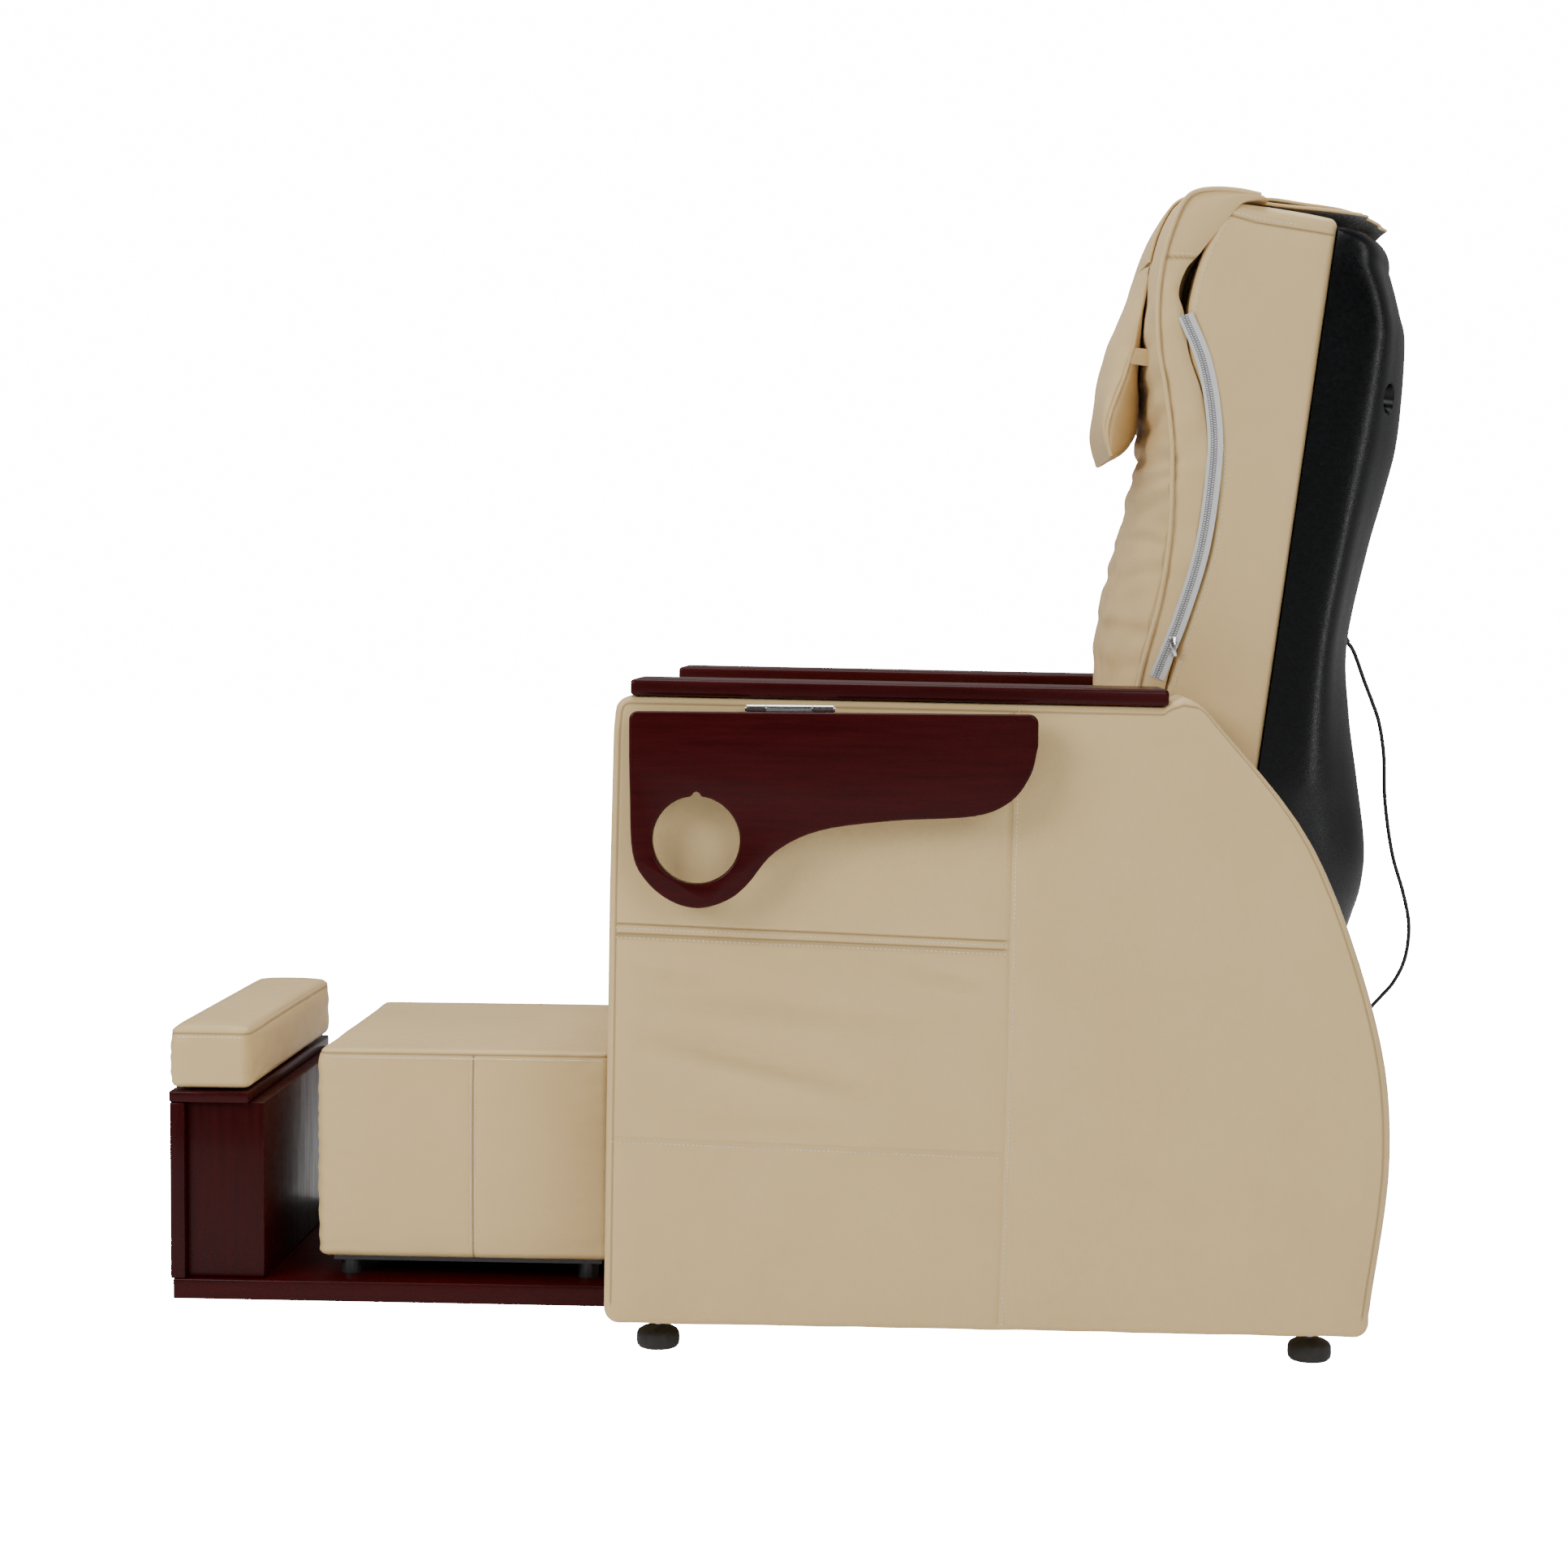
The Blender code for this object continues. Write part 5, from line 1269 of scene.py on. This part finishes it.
def makeZipper():
    line = evenLine(smoothLine(zipper["line"], 12), 0.004)
    face = -zipper["face"]
    tape = stripAlong("leftZipTape", line, *zipper["tape"], face, face - zipper["thick"])
    front = face - zipper["thick"]
    # a dark strip under the teeth: painted shade in the gaps between them
    chain = stripAlong("leftZipChain", line, *zipper["chain"], front, front - 0.0002)
    spots = evenLine(line, zipper["pitch"])
    ways = np.gradient(spots, axis=0)
    ways /= np.linalg.norm(ways, axis=1)[:, None]
    verts, faces = [], []
    for spot, way in zip(spots, ways):
        across = np.array((-way[1], way[0]))
        for row in (-1, 1):
            middle = spot + across * (-0.0015 + 0.0018 * row) + way * (0.0007 * row)
            base = len(verts)
            for y, shrink in ((front, 1.0), (front - 0.0012, 0.75)):
                for a, b in ((-1, -1), (1, -1), (1, 1), (-1, 1)):
                    corner = middle + across * a * 0.0014 * shrink + way * b * 0.0009 * shrink
                    verts.append((corner[0], y, corner[1]))
            faces += [(base + 3, base + 2, base + 1, base), (base + 4, base + 5, base + 6, base + 7)]
            faces += [(base + k, base + (k + 1) % 4, base + 4 + (k + 1) % 4, base + 4 + k) for k in range(4)]
    teeth = newPiece("leftZipTeeth", verts, faces)
    slider = board("leftZipSlider", (-0.0045, -0.0035, -0.0075), (0.0045, 0, 0.0075), 0.0014, 3)
    pull = board("leftZipPull", (-0.0026, -0.0052, -0.016), (0.0026, -0.0038, 0.006), 0.0006, 2)
    end = smoothLine(zipper["line"], 12)[-8]
    place = Matrix.Translation((end[0] + 0.002, face - 0.0008, end[1]))
    tilt = place @ Matrix.Rotation(math.radians(-14), 4, "Y")
    for piece in (slider, pull):
        placeBy(piece, tilt)
    for piece, look in ((tape, "tape"), (chain, "shadedGroove"), (teeth, "teeth"), (slider, "chrome"),
                        (pull, "chrome")):
        finishBoth(placeBy(piece, lean), look, "backrest")
    print("zippers made")


pillow = {
    # from the top down: back and front
    "rungs": (((-0.1278, 0.7970), (-0.1312, 0.7975)), ((-0.1252, 0.7600), (-0.1385, 0.7640)),
              ((-0.1205, 0.7180), (-0.1490, 0.7250)), ((-0.1145, 0.6780), (-0.1562, 0.6880)),
              ((-0.1072, 0.6420), (-0.1582, 0.6560)), ((-0.1040, 0.6100), (-0.1570, 0.6260)),
              ((-0.1075, 0.5940), (-0.1525, 0.6000)), ((-0.1170, 0.5800), (-0.1455, 0.5810)),
              ((-0.1300, 0.5705), (-0.1370, 0.5670))),
    "seam": ((0.56, 0.80), (0.60, 0.70), (0.65, 0.35), (0.70, -0.10), (0.76, -0.25), (0.80, -0.30)),
    "halfWidth": 0.150, "strapHeight": 0.690, "wrap": 0.0055,
}


def makePillow():
    table = np.array(pillow["rungs"]).reshape(len(pillow["rungs"]), 4)
    ladder = smoothLine(table, 14)
    depths = np.linspace(-1, 1, 25)
    ys = np.concatenate((np.linspace(-1, -0.75, 12), np.linspace(-0.72, 0.72, 44), np.linspace(0.75, 1, 12)))
    verts, faces = boxGrid(depths, ys, np.arange(len(ladder), dtype=float))
    a, b = verts[:, 0], verts[:, 1]
    rung = ladder[verts[:, 2].astype(int)]
    largest = np.maximum(np.abs(a), np.abs(b))
    power = 2.5
    length = (np.abs(a) ** power + np.abs(b) ** power) ** (1 / power)
    scale = largest / np.maximum(length, 1e-9)
    a, b = a * scale, b * scale
    middle = (rung[:, :2] + rung[:, 2:]) / 2
    half = (rung[:, 2:] - rung[:, :2]) / 2
    seamShift = stations(pillow["seam"], middle[:, 1]) * np.abs(b) ** 4
    spots = middle + half * (a + seamShift)[:, None]
    spots[:, 0] += pillow["wrap"] * np.abs(b) ** 3 * np.clip((middle[:, 1] - 0.60) / 0.06, 0, 1)
    y = b * (pillow["halfWidth"] - 0.003)
    # painted shade along the piped side seams
    seam = (np.abs(np.abs(b) - 1) < 0.10) * bell(a, 0.10)
    y -= np.sign(b) * 0.0016 * bell(a, 0.08) * (np.abs(b) > 0.9)
    ripple = softNoise(np.stack((spots[:, 0] * 6, y * 5, spots[:, 1] * 12), 1), 3.0, 12.0)
    spots[:, 0] -= 0.0016 * ripple * np.abs(a)
    dents = softNoise(np.stack((spots[:, 0] * 4, y * 0, spots[:, 1] * 30), 1), 1.6, 5.0)
    y += np.sign(b) * (np.abs(b) > 0.85) * 0.0018 * dents
    piece = newPiece("headPillowCover", np.stack((spots[:, 0], y, spots[:, 1]), 1), faces)
    orientOut(piece)
    setPaintedShade(piece, 0.6 * seam)
    placeBy(piece, lean)
    finishPiece(piece, "leather", "head_pillow", ["head_pillow"], 60)
    centre = (ladder[:, :2] + ladder[:, 2:]) / 2
    centre = centre + (ladder[:, 2:] - ladder[:, :2]) / 2 * stations(pillow["seam"], centre[:, 1])[:, None]
    centre[:, 0] += pillow["wrap"] * np.clip((centre[:, 1] - 0.60) / 0.06, 0, 1)
    edge = pillow["halfWidth"] - 0.0036
    path = np.stack((centre[:, 0], np.full(len(centre), -edge), centre[:, 1]), 1)[4:-1]
    cord = placeBy(tubeAlong("leftPillowPiping", evenLine(path, 0.004), 0.0024, 10), lean)
    finishBoth(cord, "leather", "head_pillow")
    z = pillow["strapHeight"]
    low, high = (-0.1330, -0.1480, z - 0.010), (-0.1080, -0.1440, z + 0.010)
    strap = board("leftPillowStrap", low, high, 0.0012, 3)
    finishBoth(placeBy(strap, lean), "leather", "head_pillow")
    print("pillow made")


flaps = {
    "padFlap": {"line": ((-0.0135, 0.8805), (0.030, 0.8812), (0.080, 0.8826), (0.121, 0.8826)), "half": 0.200,
                "node": "pad_flap", "body": "backrest", "wave": 0.0012},
    "pillowFlap": {"line": ((-0.0080, 0.8925), (0.020, 0.8945), (0.0805, 0.8925), (0.1200, 0.8865),
                            (0.1510, 0.8755)),
                   "hug": (0.640, 0.985), "half": 0.150, "node": "pillow_flap", "body": "backrest",
                   "wave": 0.0014},
    "thick": 0.0024, "lift": 0.0026,
}


def makeFlap(name):
    made = flaps[name]
    line = evenLine(smoothLine(made["line"], 10), 0.005)
    half = made["half"]
    hug = np.linspace(*made["hug"], 34) if "hug" in made else np.zeros(0)
    columns = 60
    ys = np.linspace(-half, half, columns + 1)
    verts, faces = [], []
    if len(hug):
        sheets = [padFace(hug, np.full(len(hug), y)) for y in ys]
        for n in range(len(hug)):
            before, after = max(n - 1, 0), min(n + 1, len(hug) - 1)
            for y, sheet in zip(ys, sheets):
                way = sheet[after] - sheet[before]
                way /= np.linalg.norm(way)
                verts.append((sheet[n, 0] - way[1] * flaps["lift"], y, sheet[n, 1] + way[0] * flaps["lift"]))
    for n, (x, z) in enumerate(line):
        share = n / (len(line) - 1)
        for y in ys:
            curl = made["wave"] * noise.noise((x * 22, y * 16, 3.0)) * (0.3 + share)
            corner = max(0, abs(y) / half - 0.93) / 0.07 * max(0, share - 0.9) / 0.1
            verts.append((x - 0.012 * corner ** 2, y * (1 - 0.004 * share), z + curl))
    for n in range(len(verts) // (columns + 1) - 1):
        for k in range(columns):
            a = n * (columns + 1) + k
            faces.append((a, a + 1, a + columns + 2, a + columns + 1))
    edges = [verts[::columns + 1], verts[columns::columns + 1]]
    piece = newPiece(name, verts, faces)
    if meshNormals(piece)[:, 2].mean() < 0:
        piece.data.flip_normals()
    piece.data.materials.append(looks["leather"])
    piece.data.materials.append(looks["loops"])
    body = piece.modifiers.new("body", "SOLIDIFY")
    body.thickness = flaps["thick"]
    body.offset = 0
    body.material_offset = 1
    body.material_offset_rim = 0
    applyModifiers(piece)
    placeBy(piece, lean)
    selectOnly(piece)
    bpy.ops.object.shade_smooth_by_angle(angle=math.radians(50))
    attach(piece, made["body"])
    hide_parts(made["node"])
    for label, path in zip(("left", "right"), edges):
        hem = placeBy(tubeAlong(label + name[0].upper() + name[1:] + "Hem", path, 0.0019, 8), lean)
        finishPiece(hem, "leather", made["body"])


makeShell()
makeBolster()
makePad()
makeZipper()
makePillow()
makeFlap("padFlap")
makeFlap("pillowFlap")


# ---- seat, platform and stool
def cushionShape(name, low, high, made):
    # a crowned cushion: rounded box, swollen sides, raised top
    corner, rim = made["corner"], made["rim"]
    step = made["step"]
    seam = made["seam"]
    uprights = made.get("uprights", ())
    nearX, nearY = ([(low[n] + corner, corner, step / 3), (high[n] - corner, corner, step / 3)]
                    for n in (0, 1))
    xs = gridLines(low[0], high[0], step, nearX + [(x, 0.009, 0.0012) for x in uprights])
    ys = gridLines(low[1], high[1], step, nearY)
    zs = gridLines(low[2], high[2], step, [(low[2] + rim, rim, 0.0018), (high[2] - rim, rim, 0.0012),
                                           (seam, 0.008, 0.0012)])
    verts, faces = boxGrid(xs, ys, zs)
    roundInPlane(verts, 0, 1, low, high, corner)
    roundRim(verts, low, high, 2, (0, 1), corner, rim)
    u = (verts[:, 0] - (low[0] + high[0]) / 2) / ((high[0] - low[0]) / 2)
    v = (verts[:, 1] - (low[1] + high[1]) / 2) / ((high[1] - low[1]) / 2)
    w = (verts[:, 2] - low[2]) / (high[2] - low[2])
    belly = 1 - np.abs(2 * w - 1) ** 3
    bulge = made["bulge"]
    verts[:, 0] += np.sign(u) * np.abs(u) ** 3 * bulge * belly * (1 - np.abs(v) ** 8)
    verts[:, 1] += np.sign(v) * np.abs(v) ** 3 * bulge * belly * (1 - np.abs(u) ** 8)
    dome = np.clip(1 - np.abs(u) ** 2.8, 0, 1) * np.clip(1 - np.abs(v) ** made.get("domePower", 5.0), 0, 1)
    verts[:, 2] += made["crown"] * dome ** 0.8 * np.clip(2 * w - 1, 0, 1) ** 2
    side = np.maximum(np.abs(u), np.abs(v)) > 0.93
    gap = np.abs(verts[:, 2] - seam)
    push = -0.0011 * bell(gap, 0.0016) - 0.0012 * bell(gap, 0.007)
    shade = 0.8 * bell(gap, 0.0012) * side
    for x in uprights:
        near = np.abs(verts[:, 0] - x)
        below = (np.abs(v) > 0.93) * (verts[:, 2] < seam)
        push = push - 0.0012 * below * (bell(near, 0.0013) + bell(near, 0.008))
        shade = np.maximum(shade, 0.85 * bell(near, 0.0010) * below)
    creases = made.get("wrinkle", 0.0008) * softNoise(verts * (1, 1, 1.6), 16.0, made["seed"])
    tight = np.clip(1.25 - np.hypot(1 - np.abs(u), 1 - np.abs(v)) / 0.35, 0, 1)
    puckers = 0.0009 * np.sin(verts[:, 2] * 260 + 8 * softNoise(verts, 12.0, 1.0)) * tight
    amount = (push + creases + puckers) * side
    length = np.maximum(np.abs(u) ** 8 + np.abs(v) ** 8, 1e-9)
    verts[:, 0] += np.sign(u) * np.abs(u) ** 8 / length * amount
    verts[:, 1] += np.sign(v) * np.abs(v) ** 8 / length * amount
    piece = newPiece(name, verts, faces)
    orientOut(piece)
    setPaintedShade(piece, shade)
    return piece


seatCushion = {"corner": 0.022, "rim": 0.020, "step": 0.009, "seam": 0.512, "bulge": 0.0, "crown": 0.014,
               "seed": 2.0, "wrinkle": 0.0012}
footCushion = {"corner": 0.012, "rim": 0.009, "step": 0.0060, "seam": 0.3485, "bulge": 0.0030, "crown": 0.006,
               "seed": 5.0, "domePower": 14.0}
stoolCushion = {"corner": 0.012, "rim": 0.008, "step": 0.0065, "seam": 0.3240, "bulge": 0.0045,
                "crown": 0.002, "seed": 7.0, "uprights": (-0.374,), "domePower": 8.0}


def makeSeat():
    low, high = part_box("seat_cushion")
    piece = cushionShape("seatCushionCover", tuple(low), (high.x, high.y, high.z - 0.010), seatCushion)
    finishPiece(piece, "leather", "root", ["seat_cushion"], 60)
    low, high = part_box("front_rail")
    rail = board("frontRailCover", tuple(low), tuple(high), 0.004, 3)
    finishPiece(rail, "leather", "root", ["front_rail"])
    print("seat made")


def makeFootCushion():
    low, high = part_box("foot_cushion")
    piece = cushionShape("footCushionCover", (low.x + 0.002, low.y + 0.002, low.z + 0.003),
                         (high.x - 0.002, high.y - 0.002, 0.3555), footCushion)
    finishPiece(piece, "leather", "platform", ["foot_cushion"], 60)
    line = [(x, 0.3445) for x in np.linspace(low.x + 0.012, high.x - 0.012, 24)]
    row = stitchRow("footCushionEndStitch", layOn(meshPlaces(piece), line), (0, -1, 0), "platform")
    finishPiece(mirrored(row, "footCushionFarStitch"), "thread", "platform")
    print("foot cushion made")


def makeStool():
    low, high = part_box("stool_upholstery")
    piece = cushionShape("stoolCover", (low.x - 0.001, low.y + 0.003, low.z + 0.0005),
                         (high.x - 0.003, high.y - 0.003, 0.3295), stoolCushion)
    finishPiece(piece, "leather", "stool", ["stool_upholstery"], 60)
    rows = {"stoolTopStitch": [(x, 0.3195) for x in np.linspace(low.x + 0.014, high.x - 0.014, 70)]}
    for n, shift in enumerate((-0.0026, 0.0026)):
        rows[f"stoolSeamStitch{n}"] = [(-0.374 + shift, z) for z in np.linspace(0.083, 0.3195, 50)]
    for name, line in rows.items():
        row = stitchRow(name, layOn(meshPlaces(piece), line), (0, -1, 0), "stool", 0.0036)
        finishPiece(mirrored(row, name + "Far"), "thread", "stool")
    print("stool made")


boards = (
    # piece, node, finish, rounding
    ("pedestalFront", "pedestal_front_board", "woodUp", 0.0018),
    ("pedestalBlock", "pedestal_box", "woodUp", 0.0016),
    ("pedestalTop", "pedestal_top_board", "woodAcross", 0.0025),
)


def makePlatform():
    for name, node, look, rounding in boards:
        low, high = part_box(node)
        finishPiece(board(name, tuple(low), tuple(high), rounding, 3), look, "platform", [node])
    low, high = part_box("platform_base")
    base = board("platformBoard", (low.x, low.y, 0.025), tuple(high), 0.0018, 3)
    finishPiece(base, "woodLong", "platform", ["platform_base"])
    for name, middle in (("left", -0.115), ("right", 0.115)):
        skid = board(name + "PlatformSkid", (low.x + 0.02, middle - 0.015, 0.0),
                     (high.x - 0.02, middle + 0.015, 0.0249), 0.002, 2)
        finishPiece(skid, "woodLong", "platform")
    print("platform made")


makeSeat()
makeFootCushion()
makeStool()
makePlatform()


# ---- frame parts that keep their own shape
kept = {
    "plywood": ("left_side_core", "right_side_core", "seat_deck", "rear_rail"),
    "chrome": ("left_hinge_leaf", "right_hinge_leaf", "left_hinge_pin", "right_hinge_pin", "left_tray_leaf",
               "right_tray_leaf", "kneading_shaft", "lift_screw", "actuator_rod"),
    "greySteel": ("left_recline_bracket", "right_recline_bracket", "left_back_upright", "right_back_upright",
                  "top_crossbar", "bottom_crossbar", "carriage", "left_massage_arm", "right_massage_arm",
                  "actuator_clevis"),
    "motor": ("control_box", "lift_motor", "kneading_motor", "actuator_body", "stool_base"),
    "roller": ("left_upper_roller", "left_lower_roller", "right_upper_roller", "right_lower_roller"),
    "rubber": ("shell_gland",),
}
for look, names in kept.items():
    for name in names:
        nodes[name].data.materials.clear()
        nodes[name].data.materials.append(looks[look])
print("frame parts finished")
